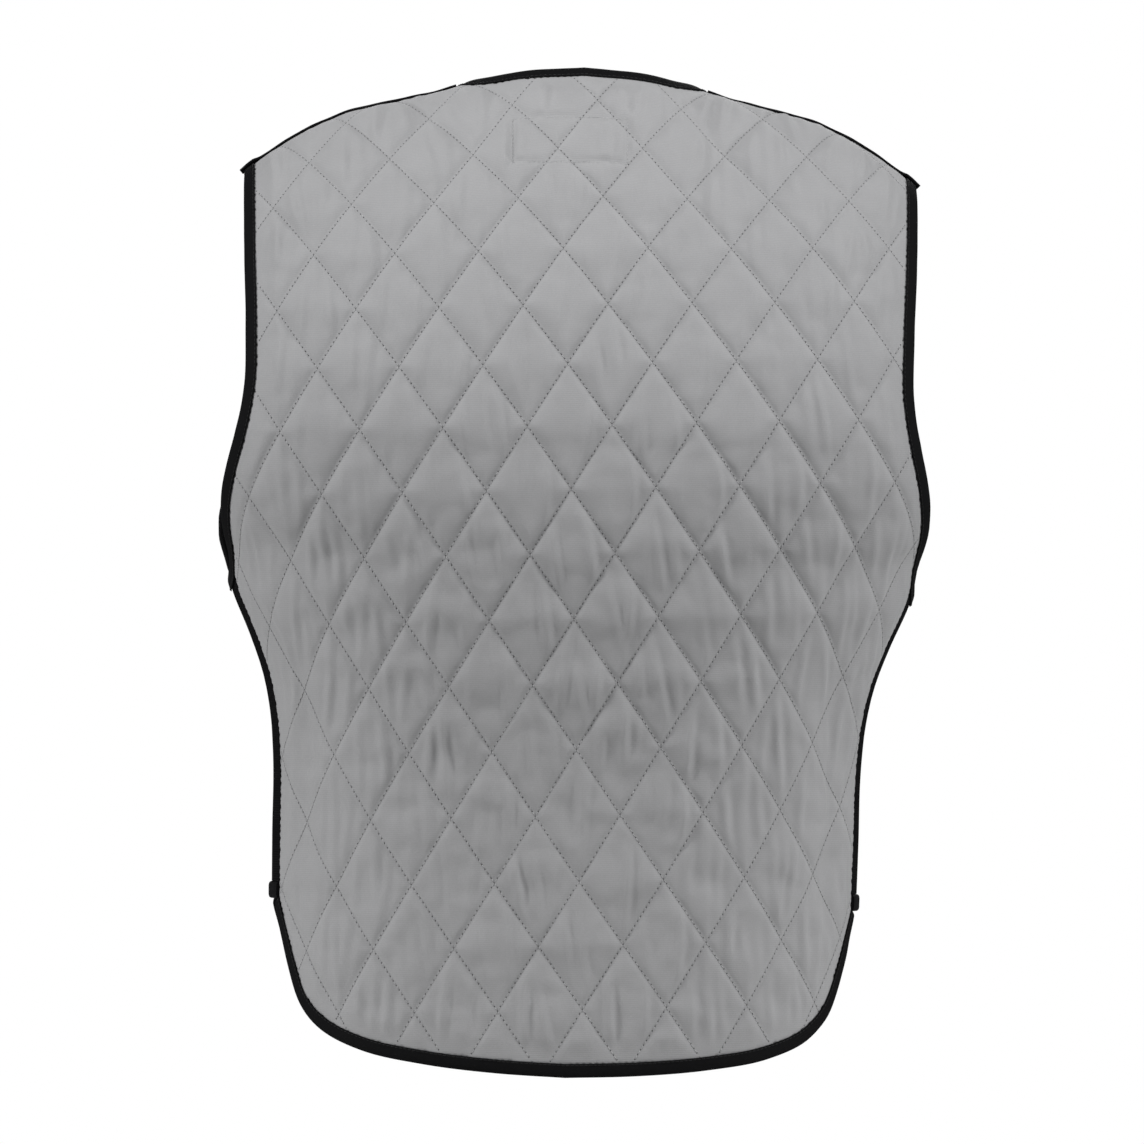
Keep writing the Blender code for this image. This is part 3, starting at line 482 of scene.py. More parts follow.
print("form grid", FORM[BACK].shape[:2], "points each for back and front")


# %% Edges of the flat pieces
def along_run(path):
    """Running length at each point of a path."""
    return np.concatenate([[0.0], np.cumsum(np.linalg.norm(np.diff(path, axis=0), axis=1))])


def read_path(at, run, path):
    """Rows of a path at the given running lengths."""
    return np.stack([np.interp(at, run, column) for column in path.T], axis=1)


def spline(points, spacing, grading=1.0):
    """Stations along a smooth curve through the points, ends included.

    They are even, or with a grading above 1 closer together near the start.
    """
    p = np.array(points, dtype=float)
    knots = along_run(p)
    fine = np.linspace(0.0, knots[-1], 40 * len(p))
    curve = np.stack([smooth_table(fine, knots, column) for column in p.T], axis=1)
    run = along_run(curve)
    count = max(2, round(run[-1] / spacing) + 1)
    return read_path(run[-1] * np.linspace(0.0, 1.0, count) ** grading, run, curve)


def shoulder_tip_u(side):
    """Where a piece's armhole edge meets the shoulder seam, so that both pieces end together."""
    tip = np.array([BACK_ARMHOLE[0, 1] * ARMHOLE_WIDTH])
    if side == BACK:
        return tip[0]
    x, _, length = section_curve(np.array([BLADE_LEVEL]), side)
    return read_rows(out_at_blade(tip, BACK), x, length)[0][0]


def shoulder_seam_w(u, side):
    """Height of the shoulder seam in a piece's own cloth coordinates, less its half of the gap."""
    forward = SEAM_FORWARD if side == BACK else -SEAM_FORWARD
    return crown_length(u, side) + forward - GAP / 2


def side_seam_u(w, side):
    """Place of the side seam, half a gap short of the side piece."""
    return side_length(BLADE_LEVEL + w, side) - SIDE_HALF - GAP / 2


def armhole_edge(side):
    """Edge of the armhole from the shoulder tip down to the side seam."""
    table = BACK_ARMHOLE if side == BACK else FRONT_ARMHOLE
    tip_u = shoulder_tip_u(side)
    tip_w = shoulder_seam_w(np.array([tip_u]), side)[0]
    foot_u = side_seam_u(np.array([-ARMHOLE_FOOT]), side)[0]
    middle = [(out * ARMHOLE_WIDTH, -level * ARMHOLE_FOOT) for level, out in table]
    return spline([(tip_u, tip_w)] + middle + [(foot_u, -ARMHOLE_FOOT)], STATION, 1.3)


def side_seam_edge(side):
    """Side seam from the foot of the armhole down to the foot of the side piece."""
    levels = np.linspace(-ARMHOLE_FOOT, -SIDE_BOTTOM, round((SIDE_BOTTOM - ARMHOLE_FOOT) / STATION) + 1)
    return np.stack([side_seam_u(levels, side), levels], axis=1)


def hem_edge(side, inner_u, tail):
    """Hem from the foot of the side seam round the tail's corner to inner_u."""
    table = BACK_HEM if side == BACK else FRONT_HEM
    seam = side_seam_u(np.array([-SIDE_BOTTOM]), side)[0]
    span = seam - inner_u
    points = [(inner_u + out * span, -SIDE_BOTTOM - fall * (tail - SIDE_BOTTOM)) for out, fall in table]
    return spline([(seam, -SIDE_BOTTOM)] + points + [(inner_u, -tail)], STATION)


def shoulder_edge(side):
    """Shoulder seam from the neck out to the shoulder tip."""
    u = np.linspace(NECK_HALF, shoulder_tip_u(side), SEAM_POINTS)
    return np.stack([u, shoulder_seam_w(u, side)], axis=1)


def back_neck_edge():
    """Back neckline from the centre line to the shoulder seam, level where it crosses the centre line."""
    seam = shoulder_seam_w(np.array([NECK_HALF]), BACK)[0]
    points = [(-BACK_NECK[0, 0] * NECK_HALF, BACK_NECK_TOP), (0.0, BACK_NECK_TOP)]
    points += [(out * NECK_HALF, BACK_NECK_TOP + rise * (seam - BACK_NECK_TOP)) for out, rise in BACK_NECK]
    points += [(NECK_HALF, seam)]
    curve = spline(points, STATION / 4)
    return spline(np.concatenate([[(0.0, BACK_NECK_TOP)], curve[curve[:, 0] > 0]]), STATION)


def front_neck_edge():
    """V neckline of a front piece, from the shoulder seam down to the top of the zip."""
    seam = shoulder_seam_w(np.array([NECK_HALF]), FRONT)[0]
    points = [(out * NECK_HALF, seam - fall * (seam - NECK_POINT)) for out, fall in FRONT_NECK]
    return spline([(NECK_HALF, seam)] + points + [(front_edge_u(), NECK_POINT)], STATION)


def front_edge_u():
    """Distance from the centre line to the front piece's edge, which lies beside the zip tape."""
    return CHAIN_HALF + GAP + ZIP_TAPE_WIDTH + GAP


def mirrored(edge):
    """The same edge on the other side of the centre line, walked the other way."""
    return edge[::-1] * (-1, 1)


def join_edges(*edges):
    """One walk along several edges that share their end points."""
    return np.concatenate([edges[0]] + [edge[1:] for edge in edges[1:]])


def inside(points, loop):
    """True for points within a closed polygon, by counting its crossings of a ray to the right."""
    a = loop
    b = np.roll(loop, -1, axis=0)
    x = points[:, 0][:, None]
    y = points[:, 1][:, None]
    straddles = (a[:, 1] > y) != (b[:, 1] > y)
    rise = np.where(b[:, 1] == a[:, 1], 1.0, b[:, 1] - a[:, 1])
    cut = a[:, 0] + (y - a[:, 1]) * (b[:, 0] - a[:, 0]) / rise
    return (straddles & (x < cut)).sum(axis=1) % 2 == 1


def edge_distance(points, loop):
    """Shortest distance from each point to a closed polygon's sides."""
    a = loop
    ab = np.roll(loop, -1, axis=0) - a
    ap = points[:, None, :] - a
    t = np.clip((ap * ab).sum(axis=2) / (ab * ab).sum(axis=1), 0.0, 1.0)
    return np.linalg.norm(ap - ab * t[:, :, None], axis=2).min(axis=1)


def quilt_axes(tilt):
    """Rows that turn cloth coordinates into counts of diamonds along the two stitching directions."""
    c, s = math.cos(math.radians(tilt)), math.sin(math.radians(tilt))
    across = np.array([c, s]) / DIAMOND_WIDTH
    upward = np.array([-s, c]) / DIAMOND_HEIGHT
    return np.stack([across + upward, across - upward])


def quilt_counts(points, tilt, shift):
    """Counts of diamonds along the two stitching directions; a stitched line has a whole number."""
    row_height = QUILT_START + QUILT_ROWS[:, 1] * DIAMOND_HEIGHT
    up = DIAMOND_HEIGHT * smooth_table(points[:, 1], row_height, QUILT_ROWS[:, 0])
    return np.stack([points[:, 0] - shift, up], axis=1) @ quilt_axes(tilt).T


def quilt_points(counts, tilt, shift):
    """Cloth coordinates of the given counts of diamonds, the reverse of quilt_counts."""
    flat = counts @ np.linalg.inv(quilt_axes(tilt)).T
    heights = np.linspace(QUILT_ROWS[0, 1], QUILT_ROWS[-1, 1], 400) * DIAMOND_HEIGHT + QUILT_START
    counted = smooth_table(heights, QUILT_START + QUILT_ROWS[:, 1] * DIAMOND_HEIGHT, QUILT_ROWS[:, 0])
    far = 2 * heights[0], 2 * heights[-1]
    w = np.interp(flat[:, 1] / DIAMOND_HEIGHT, counted, heights, *far)
    return np.stack([flat[:, 0] + shift, w], axis=1)

# %% [markdown]
# ## Putting surfaces into meshes
#
# Every piece below ends as a list of points and faces. One function makes the mesh, merges points that
# coincide, turns the faces outwards and hides the measured node that the piece stands for.

# %% Mesh makers
def turn_out(mesh):
    """Merge a mesh's points that coincide, and turn its faces outwards."""
    work = bmesh.new()
    work.from_mesh(mesh)
    bmesh.ops.remove_doubles(work, verts=work.verts, dist=0.01 * MM)
    bmesh.ops.recalc_face_normals(work, faces=work.faces)
    work.to_mesh(mesh)
    work.free()


def new_mesh(name, points, faces):
    """Mesh from an array of points and a list of faces."""
    mesh = bpy.data.meshes.new(name)
    mesh.from_pydata(points.tolist(), [], faces)
    return mesh


def place_piece(name, mesh, nodes):
    """Show a mesh as a piece that rides on the vest and stands for measured nodes."""
    obj = in_scene(name, mesh)
    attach(obj, "root")
    if nodes:
        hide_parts(*nodes)
    return obj


def mesh_piece(name, points, faces, nodes=(), maps=None, smooth=40.0):
    """Piece from arrays. maps holds two numbers for each point, kept as the piece's own UV maps."""
    mesh = new_mesh(name, points, faces)
    index = np.empty(len(mesh.loops), dtype=np.int32)
    mesh.loops.foreach_get("vertex_index", index)
    for title, values in (maps or {}).items():
        layer = mesh.uv_layers.new(name=title)
        layer.data.foreach_set("uv", values[index].astype(np.float32).ravel())
    turn_out(mesh)
    mesh.shade_smooth()
    mesh.set_sharp_from_angle(angle=math.radians(smooth))
    return place_piece(name, mesh, nodes)


def evaluated(obj):
    """Mesh of an object after its modifiers."""
    return bpy.data.meshes.new_from_object(obj.evaluated_get(bpy.context.evaluated_depsgraph_get()))


def positions(mesh):
    """Positions of a mesh's points, one row each."""
    place = np.empty(len(mesh.vertices) * 3)
    mesh.vertices.foreach_get("co", place)
    return place.reshape(-1, 3)


def grid_faces(rows, columns, closed=False, first=0):
    """Quads of a grid of points stored row by row; closed joins the last column to the first."""
    r, c = np.meshgrid(np.arange(rows - 1), np.arange(columns if closed else columns - 1), indexing="ij")
    a = r * columns + c
    b = r * columns + (c + 1) % columns
    return (np.stack([a, b, b + columns, a + columns], axis=2).reshape(-1, 4) + first).tolist()


def end_caps(rows, sides):
    """The two faces that close a tube of rings: its first ring walked backwards, and its last."""
    last = (rows - 1) * sides
    return [list(range(sides))[::-1], list(range(last, last + sides))]


def repeated(faces, count, step):
    """The same faces for each of count pieces, whose points follow one another by step."""
    many = np.array(faces)[None] + step * np.arange(count)[:, None, None]
    return many.reshape(-1, len(faces[0])).tolist()


HANDS = ((1.0, "right"), (-1.0, "left"))


# %% [markdown]
# ## The quilted cloth
#
# The cloth is two skins with filling between, stitched through along two families of slanting lines.
# The stitches pull the thread tight, so the cloth gathers between them, and each diamond keeps two or
# three soft upright puckers. It could be one height map, but real gathers come from spare cloth. So
# the outer skin is simulated: its stitched lines are held, it grows by a little spare cloth, and a
# light pressure stands for the filling. The finest puckers, which are narrower than the simulated
# mesh, are then added by a formula.

# %% A flat piece as a net of points that follows the quilting
NET_PARTS = 12               # parts of a diamond's side in the simulated net
NET_MARGIN = 2.4 * MM        # no inner point of the net lies nearer than this to the edge
MANY = 10 ** 5               # more rows or columns than any net has
EDGE_HELD = 5 * MM           # the cloth is held still nearer than this to the edge
WORK_SIZE = 3000             # points that are compared with an edge at one time
SPARE_CLOTH = 0.013          # share of spare cloth taken up between the stitched lines


def in_parts(work, points, loop):
    """Result of some work on many points, done for about WORK_SIZE of them at a time."""
    parts = np.array_split(points, max(1, len(points) // WORK_SIZE))
    return np.concatenate([work(part, loop) for part in parts])


def from_edge(points, loop):
    """Distance to a closed edge for points inside it, and 0 for the others."""
    return in_parts(edge_distance, points, loop) * in_parts(inside, points, loop)


def cloth_net(loop, tilt, shift):
    """Flat points and faces of a piece: quads along the quilting, triangles where they meet its edge."""
    counts = quilt_counts(loop, tilt, shift)
    low = np.floor(counts.min(axis=0)).astype(int) * NET_PARTS
    high = np.ceil(counts.max(axis=0)).astype(int) * NET_PARTS
    i, j = np.meshgrid(np.arange(low[0], high[0] + 1), np.arange(low[1], high[1] + 1), indexing="ij")
    i, j = i.ravel(), j.ravel()
    nodes = quilt_points(np.stack([i, j], axis=1) / NET_PARTS, tilt, shift)
    kept = from_edge(nodes, loop) > NET_MARGIN
    nodes, i, j = nodes[kept], i[kept], j[kept]
    flat = np.concatenate([loop, nodes])
    count = len(loop)
    vectors = [Vector(p) for p in flat / MM]
    sides = [(k, (k + 1) % count) for k in range(count)]
    _, _, faces, _, _, _ = delaunay_2d_cdt(vectors, sides, [], 0, 1e-5)
    faces = np.array(faces)
    faces = faces[in_parts(inside, flat[faces].mean(axis=1), loop)]
    row, column = (np.concatenate([np.full(count, -10 * MANY), k]) for k in (i, j))
    r, c = row[faces], column[faces]
    cell = (r.min(axis=1) > -MANY) & (np.ptp(r, axis=1) == 1) & (np.ptp(c, axis=1) == 1)
    key = (r.min(axis=1) - low[0]) * MANY + c.min(axis=1) - low[1]
    found, seen = np.unique(key[cell], return_counts=True)
    whole = found[seen == 2]
    loose = faces[~(cell & np.isin(key, whole))]
    where = np.full((high[0] - low[0] + 2, high[1] - low[1] + 2), -1)
    where[i - low[0], j - low[1]] = np.arange(len(nodes)) + count
    a, b = whole // MANY, whole % MANY
    quads = np.stack([where[a, b], where[a, b + 1], where[a + 1, b + 1], where[a + 1, b]], axis=1)
    on_line = np.concatenate([np.ones(count, bool), (i % NET_PARTS == 0) | (j % NET_PARTS == 0)])
    return flat, quads.tolist() + loose.tolist(), on_line

# %% The simulated outer skin
SWELL_FRAMES = 14
SWELL_CAP = 2.6 * MM         # no point leaves its place on the form by more than this
CLOTH = dict(quality=4, mass=0.01, tension_stiffness=20, compression_stiffness=20, shear_stiffness=8,
             bending_stiffness=0.2, air_damping=2.0, shrink_min=-SPARE_CLOTH,
             vertex_group_mass="stitched", use_pressure=True, uniform_pressure_force=10.0)


def swell(flat, faces, held, side, seeds):
    """Positions of the outer skin after it has filled out: spare cloth, held stitches, light pressure.

    seeds is the height of the faint puckers that the cloth starts from, which grow as it buckles.
    """
    start, outward = cloth_point(flat[:, 0], flat[:, 1], side, LINE_WALL / 2)
    seeded = start + outward * (seeds * ~held)[:, None]
    turned = faces if side == BACK else [face[::-1] for face in faces]
    obj = in_scene("swelling", new_mesh("swelling", seeded, turned))
    obj.vertex_groups.new(name="stitched").add(np.flatnonzero(held).tolist(), 1.0, "REPLACE")
    cloth = obj.modifiers.new("cloth", "CLOTH")
    for key, value in CLOTH.items():
        setattr(cloth.settings, key, value)
    cloth.settings.effector_weights.gravity = 0.0
    cloth.collision_settings.use_collision = False
    cloth.point_cache.frame_start = 1
    cloth.point_cache.frame_end = SWELL_FRAMES
    for step in range(1, SWELL_FRAMES + 1):
        bpy.context.scene.frame_set(step)
    moved = positions(evaluated(obj)) - start
    bpy.data.objects.remove(obj)
    bpy.context.scene.frame_set(1)
    far = np.linalg.norm(moved, axis=1)
    print("swelling moved the cloth by", round(far.mean() / MM, 2), "mm, at most",
          round(far.max() / MM, 2), "mm")
    return start + moved * (SWELL_CAP * np.tanh(far / SWELL_CAP) / np.maximum(far, 1e-9))[:, None]


# %% The finest puckers, by formula
PUCKERS = 3                  # upright puckers in each diamond
PUCKER_DEPTH = 1.1 * MM
SEED_SHARE = 0.5             # how much of these puckers the cloth has before it swells
PUCKER_SPACING = 10.5 * MM   # from pucker to pucker, before chance moves each
PUCKER_DRIFT = 7 * MM        # by how much it may move sideways
PUCKER_RISE = 18 * MM        # and up or down
PUCKER_LEAN = 0.35
VALLEY_PLACE = 5.4 * MM      # a shallower valley lies beside each crest
VALLEY_WIDTH = 2.8 * MM
VALLEY_SHARE = 0.55
CHANCE_CELLS = 96            # the chances repeat after this many diamonds, more than the vest has
rng = np.random.default_rng(11)
PUCKER_CHANCE = rng.random((CHANCE_CELLS, CHANCE_CELLS, PUCKERS, 6))


def bell(distance, width):
    """exp(-(distance / width) squared)."""
    return np.exp(-(distance / width) ** 2)


def ramp(distance, start, length):
    """0 up to a start, then evenly up to 1 over a length; start and length are in millimetres."""
    return np.clip((distance / MM - start) / length, 0.0, 1.0)


def pucker_height(points, tilt, shift):
    """Sum of soft upright valleys and crests in each diamond.

    Each is a bell across its width times a bell along its height, placed and sized by chance. The crests
    are 2.4 to 3.6 mm wide and fade over 17 to 29 mm, and most are shallow.
    """
    counts = quilt_counts(points, tilt, shift)
    cell = np.floor(counts).astype(int)
    part = counts - cell - 0.5
    across = (part[:, 0] + part[:, 1]) / 2 * DIAMOND_WIDTH
    upward = (part[:, 0] - part[:, 1]) / 2 * DIAMOND_HEIGHT
    chance = PUCKER_CHANCE[cell[:, 0] % CHANCE_CELLS, cell[:, 1] % CHANCE_CELLS]
    total = np.zeros(len(points))
    for k in range(PUCKERS):
        place, height, width, length, depth, lean = chance[:, k].T
        middle = (k - (PUCKERS - 1) / 2) * PUCKER_SPACING + (place - 0.5) * PUCKER_DRIFT
        sideways = across - middle - (lean - 0.5) * PUCKER_LEAN * upward
        crest = bell(sideways, (2.4 + 1.2 * width) * MM)
        valley = bell(sideways - VALLEY_PLACE, VALLEY_WIDTH) * VALLEY_SHARE
        fade = bell(upward - (height - 0.5) * PUCKER_RISE, (17 + 12 * length) * MM)
        total += (crest - valley) * fade * (0.15 + 1.25 * depth ** 1.5) * PUCKER_DEPTH
    return total


def line_distance(points, tilt, shift):
    """Distance from each flat point to the nearest stitched line."""
    counts = quilt_counts(points, tilt, shift)
    spacing = 1 / np.linalg.norm(quilt_axes(tilt), axis=1)
    return (np.abs(counts - np.round(counts)) * spacing).min(axis=1)


# %% Where the cloth lies flatter, and the creases that wear leaves
FLAT_INNER = 188 * MM        # inner border of the flatter cloth beside the left edge, from the centre line
FLAT_MIDDLE = 190 * MM       # its middle, below BLADE_LEVEL
FLAT_HALF = 125 * MM         # half its height
FLAT_SOFT = 9 * MM           # softness of its border
FLAT_LEAN = 0.12
FLAT_SHARE = 0.72            # share of the relief that it takes away


def flattened(points, side):
    """Share of the quilting's relief that is left where the cloth lies flatter, beside the left edge."""
    if side == FRONT:
        return np.ones(len(points))
    u, w = points.T
    near = 1 / (1 + np.exp((u + FLAT_INNER + FLAT_LEAN * (w + FLAT_MIDDLE)) / FLAT_SOFT))
    return 1 - FLAT_SHARE * near * np.exp(-((w + FLAT_MIDDLE) / FLAT_HALF) ** 4)


# Light creases of the worn cloth. A negative depth is a crest.
CREASES = [
    # points (u, w) in mm, width mm, depth mm
    ([(-238, -94), (-214, -122), (-200, -163), (-206, -200), (-216, -240)], 2.8, -1.2),
    ([(-222, -190), (-204, -226), (-200, -262)], 2.8, -1.0),
    ([(-226, -110), (-206, -140), (-193, -180), (-197, -225)], 4.5, 1.2),
    ([(-196, -120), (-187, -200), (-190, -300), (-182, -345)], 7.0, 1.5),
    ([(196, -100), (187, -190), (186, -280), (178, -345)], 7.0, 1.6),
    ([(212, -120), (203, -180), (204, -250)], 5.0, 1.2),
    ([(-94, 262), (-82, 240), (-70, 214)], 5.0, 1.5),
    ([(62, 268), (74, 245), (86, 222)], 5.0, 1.7),
]


def crease_height(points):
    """Bell-shaped ridge or valley round a polyline, deepest at its middle and gone at both ends."""
    total = np.zeros(len(points))
    for run, width, depth in CREASES:
        path = spline(np.array(run) * MM, 3 * MM)
        near = (np.abs(points - path.mean(axis=0)) < (60 * MM, 160 * MM)).all(axis=1)
        gap = np.linalg.norm(points[near][:, None] - path[None], axis=2)
        share = gap.argmin(axis=1) / (len(path) - 1)
        total[near] -= bell(gap.min(axis=1), width * MM) * np.sin(math.pi * share) ** 0.7 * depth * MM
    return total


# %% Label place: the rectangle of stitches that holds a label inside the neck
LABEL = (-46.0 * MM, 28.0 * MM, 190.0 * MM, 226.0 * MM)     # left, right, foot, top in u and w


def label_distance(points):
    """Distance from a flat point to the rectangle's nearest side, from inside or outside."""
    left, right, foot, top = LABEL
    dx = np.abs(points[:, 0] - (left + right) / 2) - (right - left) / 2
    dy = np.abs(points[:, 1] - (foot + top) / 2) - (top - foot) / 2
    outer = np.hypot(np.maximum(dx, 0), np.maximum(dy, 0))
    return np.where(np.maximum(dx, dy) > 0, outer, -np.maximum(dx, dy))


# %% Both skins of a quilted piece: a simulated outside, and a lining that is only pressed into shape
GROOVE = 2.2 * MM            # how soon the cloth climbs out of a stitched line
LIFT = 1.10 * MM             # how high it stands between the lines
FILLING = 0.7 * MM           # further rise that the filling keeps by itself, more slowly
EDGE_ROUND = 2.5 * MM        # radius of the cloth's edge
SIDEWAYS_SHARE = 0.6         # share of the simulated sideways movement that is kept
LABEL_PRESS = 0.75           # share of the padding that the label's stitches press down
CREASE_AT_LINE = 0.35        # share of a crease's depth that is left on a stitched line


def soft_rise(to_line):
    """Share of the padding's rise at a distance from a stitched line: 1 - exp(-distance / soft width)."""
    return 1 - np.exp(-to_line / (SOFT_SHARE * DIAMOND_WIDTH))


def rounding(edge):
    """Share of the wall's half thickness beside an edge: the height of a quarter circle."""
    return np.sqrt(1 - (1 - np.clip(edge / EDGE_ROUND, 0.0, 1.0)) ** 2)


def outer_relief(points, edge, gained, side, tilt, shift):
    """Height above the form: the simulated rise and the puckers, pressed down to nothing at a stitch."""
    to_line = line_distance(points, tilt, shift)
    valley = 1 - np.exp(-to_line / GROOVE)
    rise = gained + LIFT + FILLING * soft_rise(to_line)
    rise += pucker_height(points, tilt, shift) * ramp(to_line, 0, 7)
    rise *= valley * ramp(edge, 3, 14) * flattened(points, side)
    if side == BACK:
        rise *= 1 - LABEL_PRESS * bell(label_distance(points), GROOVE)
        kept = CREASE_AT_LINE + (1 - CREASE_AT_LINE) * valley
        rise += crease_height(points) * ramp(edge, 0, 12) * kept
    return LINE_WALL / 2 * rounding(edge) + rise


def finer_skin(start, faces, flat, edge):
    """Subdivided skin: its positions, its flat points, their distance from the edge, and its faces."""
    mesh = new_mesh("skin", start, faces)
    kept = mesh.attributes.new("flat", "FLOAT_VECTOR", "POINT")
    kept.data.foreach_set("vector", np.column_stack([flat, edge]).astype(np.float32).ravel())
    obj = in_scene("skin", mesh)
    finer = obj.modifiers.new("finer", "SUBSURF")
    finer.levels = finer.render_levels = 1
    fine = evaluated(obj)
    bpy.data.objects.remove(obj)
    data = np.empty(len(fine.vertices) * 3, dtype=np.float32)
    fine.attributes["flat"].data.foreach_get("vector", data)
    data = data.reshape(-1, 3).astype(float)
    return positions(fine), data[:, :2], data[:, 2], [list(p.vertices) for p in fine.polygons]


def quilted_piece(name, loop, side, tilt, shift):
    """Padded cloth piece: simulated and subdivided outer skin, and a plainer lining, closed at the edge."""
    flat, faces, held = cloth_net(loop, tilt, shift)
    edge = from_edge(flat, loop)
    edge[:len(loop)] = 0.0
    held = held | (edge < EDGE_HELD)
    swollen = swell(flat, faces, held, side, SEED_SHARE * pucker_height(flat, tilt, shift))

    place, points, border, outer_faces = finer_skin(swollen, faces, flat, edge)
    base, outward = cloth_point(points[:, 0], points[:, 1], side)
    offset = place - base
    rise = (offset * outward).sum(axis=1)
    gained = rise - LINE_WALL / 2
    relief = outer_relief(points, border, gained, side, tilt, shift)
    sideways = offset - outward * rise[:, None]
    outer = base + outward * relief[:, None] + sideways * (SIDEWAYS_SHARE * ramp(border, 4, 6))[:, None]

    start = cloth_point(flat[:, 0], flat[:, 1], side, LINE_WALL / 2)[0]
    _, under, border, lining_faces = finer_skin(start, faces, flat, edge)
    sunk = INNER_PUFF * soft_rise(line_distance(under, tilt, shift)) * ramp(border, 3, 14)
    sunk += LINE_WALL / 2 * rounding(border)
    lining = cloth_point(under[:, 0], under[:, 1], side, -sunk)[0]

    flats = np.concatenate([points, under])
    faces = outer_faces + [[len(outer) + v for v in face] for face in lining_faces]
    maps = {"cloth": flats, "quilting": quilt_counts(flats, tilt, shift)}
    obj = mesh_piece(name, np.concatenate([outer, lining]), faces,
                     (name.replace("quilted_", ""),), maps, 180.0)
    print(name, len(obj.data.polygons), "faces")
    return obj

# %% Make the three quilted pieces
def back_piece_loop():
    """Edge of the back piece: one half and its mirror image, walked anticlockwise."""
    half = join_edges(back_neck_edge(), shoulder_edge(BACK), armhole_edge(BACK), side_seam_edge(BACK),
                      hem_edge(BACK, 0.0, BACK_TAIL))
    return np.concatenate([half, mirrored(half)[1:-1]])[::-1]


def front_piece_loop():
    """Edge of a front piece, from the shoulder seam round to the neckline."""
    levels = np.linspace(-FRONT_TAIL, NECK_POINT, round((FRONT_TAIL + NECK_POINT) / STATION) + 1)
    zip_edge = np.stack([np.full(len(levels), front_edge_u()), levels], axis=1)
    walk = join_edges(shoulder_edge(FRONT), armhole_edge(FRONT), side_seam_edge(FRONT),
                      hem_edge(FRONT, front_edge_u(), FRONT_TAIL), zip_edge, front_neck_edge()[::-1])
    return walk[:-1][::-1]


back_loop = back_piece_loop()
front_loop = front_piece_loop()
quilted_back = quilted_piece("quilted_back_panel", back_loop, BACK, GRAIN_TILT, QUILT_SHIFT)
quilted_right = quilted_piece("quilted_front_panel_right", front_loop, FRONT, 0.0, 0.0)

# The left front is the right one mirrored, with its faces turned out again.
mirrored_mesh = quilted_right.data.copy()
mirrored_mesh.name = "quilted_front_panel_left"
mirrored_mesh.transform(Matrix.Diagonal((-1, 1, 1, 1)))
mirrored_mesh.flip_normals()
quilted_left = place_piece("quilted_front_panel_left", mirrored_mesh, ("front_panel_left",))

# %% [markdown]
# ## The stitches
#
# A lockstitch shows as a row of short threads, each dipping into a needle hole at both ends. Here they
# are about 3.6 mm long, so they can be counted in the picture. Each is a small five-sided grain of thread
# laid along its line. A line of texture could stand for them, but real threads catch the light and hold
# up when seen close. The shade in the needle holes between them is painted as dark spots by the cloth's
# material, which counts the same 14 stitches to each diamond's side.

# %% Stitches as grains of thread
STITCHES = 14                # to each side of a diamond, so about 3.6 mm long
THREAD = 0.34 * MM           # radius of the thread's grain
GRAIN_POINTS = 15            # points of one grain
STITCH_MARGIN = 4 * MM       # no stitch of the quilting lies nearer than this to an edge
TAPE_THREAD = 0.36 * MM      # radius of the black thread of the tapes
LABEL_STITCH = 3 * MM
LABEL_RISE = 0.9 * MM        # how far the label's stitches rise on the padding between the lines
LABEL_SOFT = 4 * MM          # and over which distance from a line


def thread_grains(name, start, end, outward, radius, share=0.40):
    """A grain of thread for each start and end: three rings of five points, widest in the middle."""
    middle = (start + end) / 2
    along = (end - start) * share
    side = unit(np.cross(outward, along))[:, None]
    turn = np.linspace(0, 2 * math.pi, 5, endpoint=False)[None, :, None]
    spoke = side * np.cos(turn) + outward[:, None] * (0.8 * np.sin(turn))
    rings = []
    for place, width, sink in ((-1, 0.55, 0.45), (0, 1.0, 0.0), (1, 0.55, 0.45)):
        centre = middle + along * place + outward * (0.25 - sink) * radius
        rings.append(centre[:, None] + spoke * radius * width)
    points = np.stack(rings, axis=1).reshape(-1, 3)
    faces = repeated(grid_faces(3, 5, closed=True), len(start), GRAIN_POINTS)
    faces += repeated(end_caps(3, 5), len(start), GRAIN_POINTS)
    return mesh_piece(name, points, faces, smooth=180.0)


def quilt_stitches(loop, tilt, shift, family):
    """Start, middle and end of each stitch of one family, which lies on whole counts one way."""
    counts = quilt_counts(loop, tilt, shift)
    low = np.floor(counts.min(axis=0)).astype(int)
    high = np.ceil(counts.max(axis=0)).astype(int)
    other = 1 - family
    lines, steps = np.meshgrid(np.arange(low[family], high[family] + 1),
                               np.arange(low[other] * STITCHES, high[other] * STITCHES), indexing="ij")
    ends = []
    for part in (0, 0.5, 1):
        pair = np.zeros((lines.size, 2))
        pair[:, family] = lines.ravel()
        pair[:, other] = (steps.ravel() + part) / STITCHES
        ends.append(quilt_points(pair, tilt, shift))
    kept = from_edge(ends[1], loop) > STITCH_MARGIN
    return [end[kept] for end in ends]


def lay_stitches(name, ends, side, lift, radius, hand=1.0):
    """Grains of thread between flat ends, laid on the form at a height above it."""
    start = cloth_point(ends[0][:, 0], ends[0][:, 1], side, lift)[0]
    end = cloth_point(ends[-1][:, 0], ends[-1][:, 1], side, lift)[0]
    middle = (ends[0] + ends[-1]) / 2
    outward = cloth_point(middle[:, 0], middle[:, 1], side)[1]
    flip = (hand, 1.0, 1.0)
    return thread_grains(name, start * flip, end * flip, outward * flip, radius)


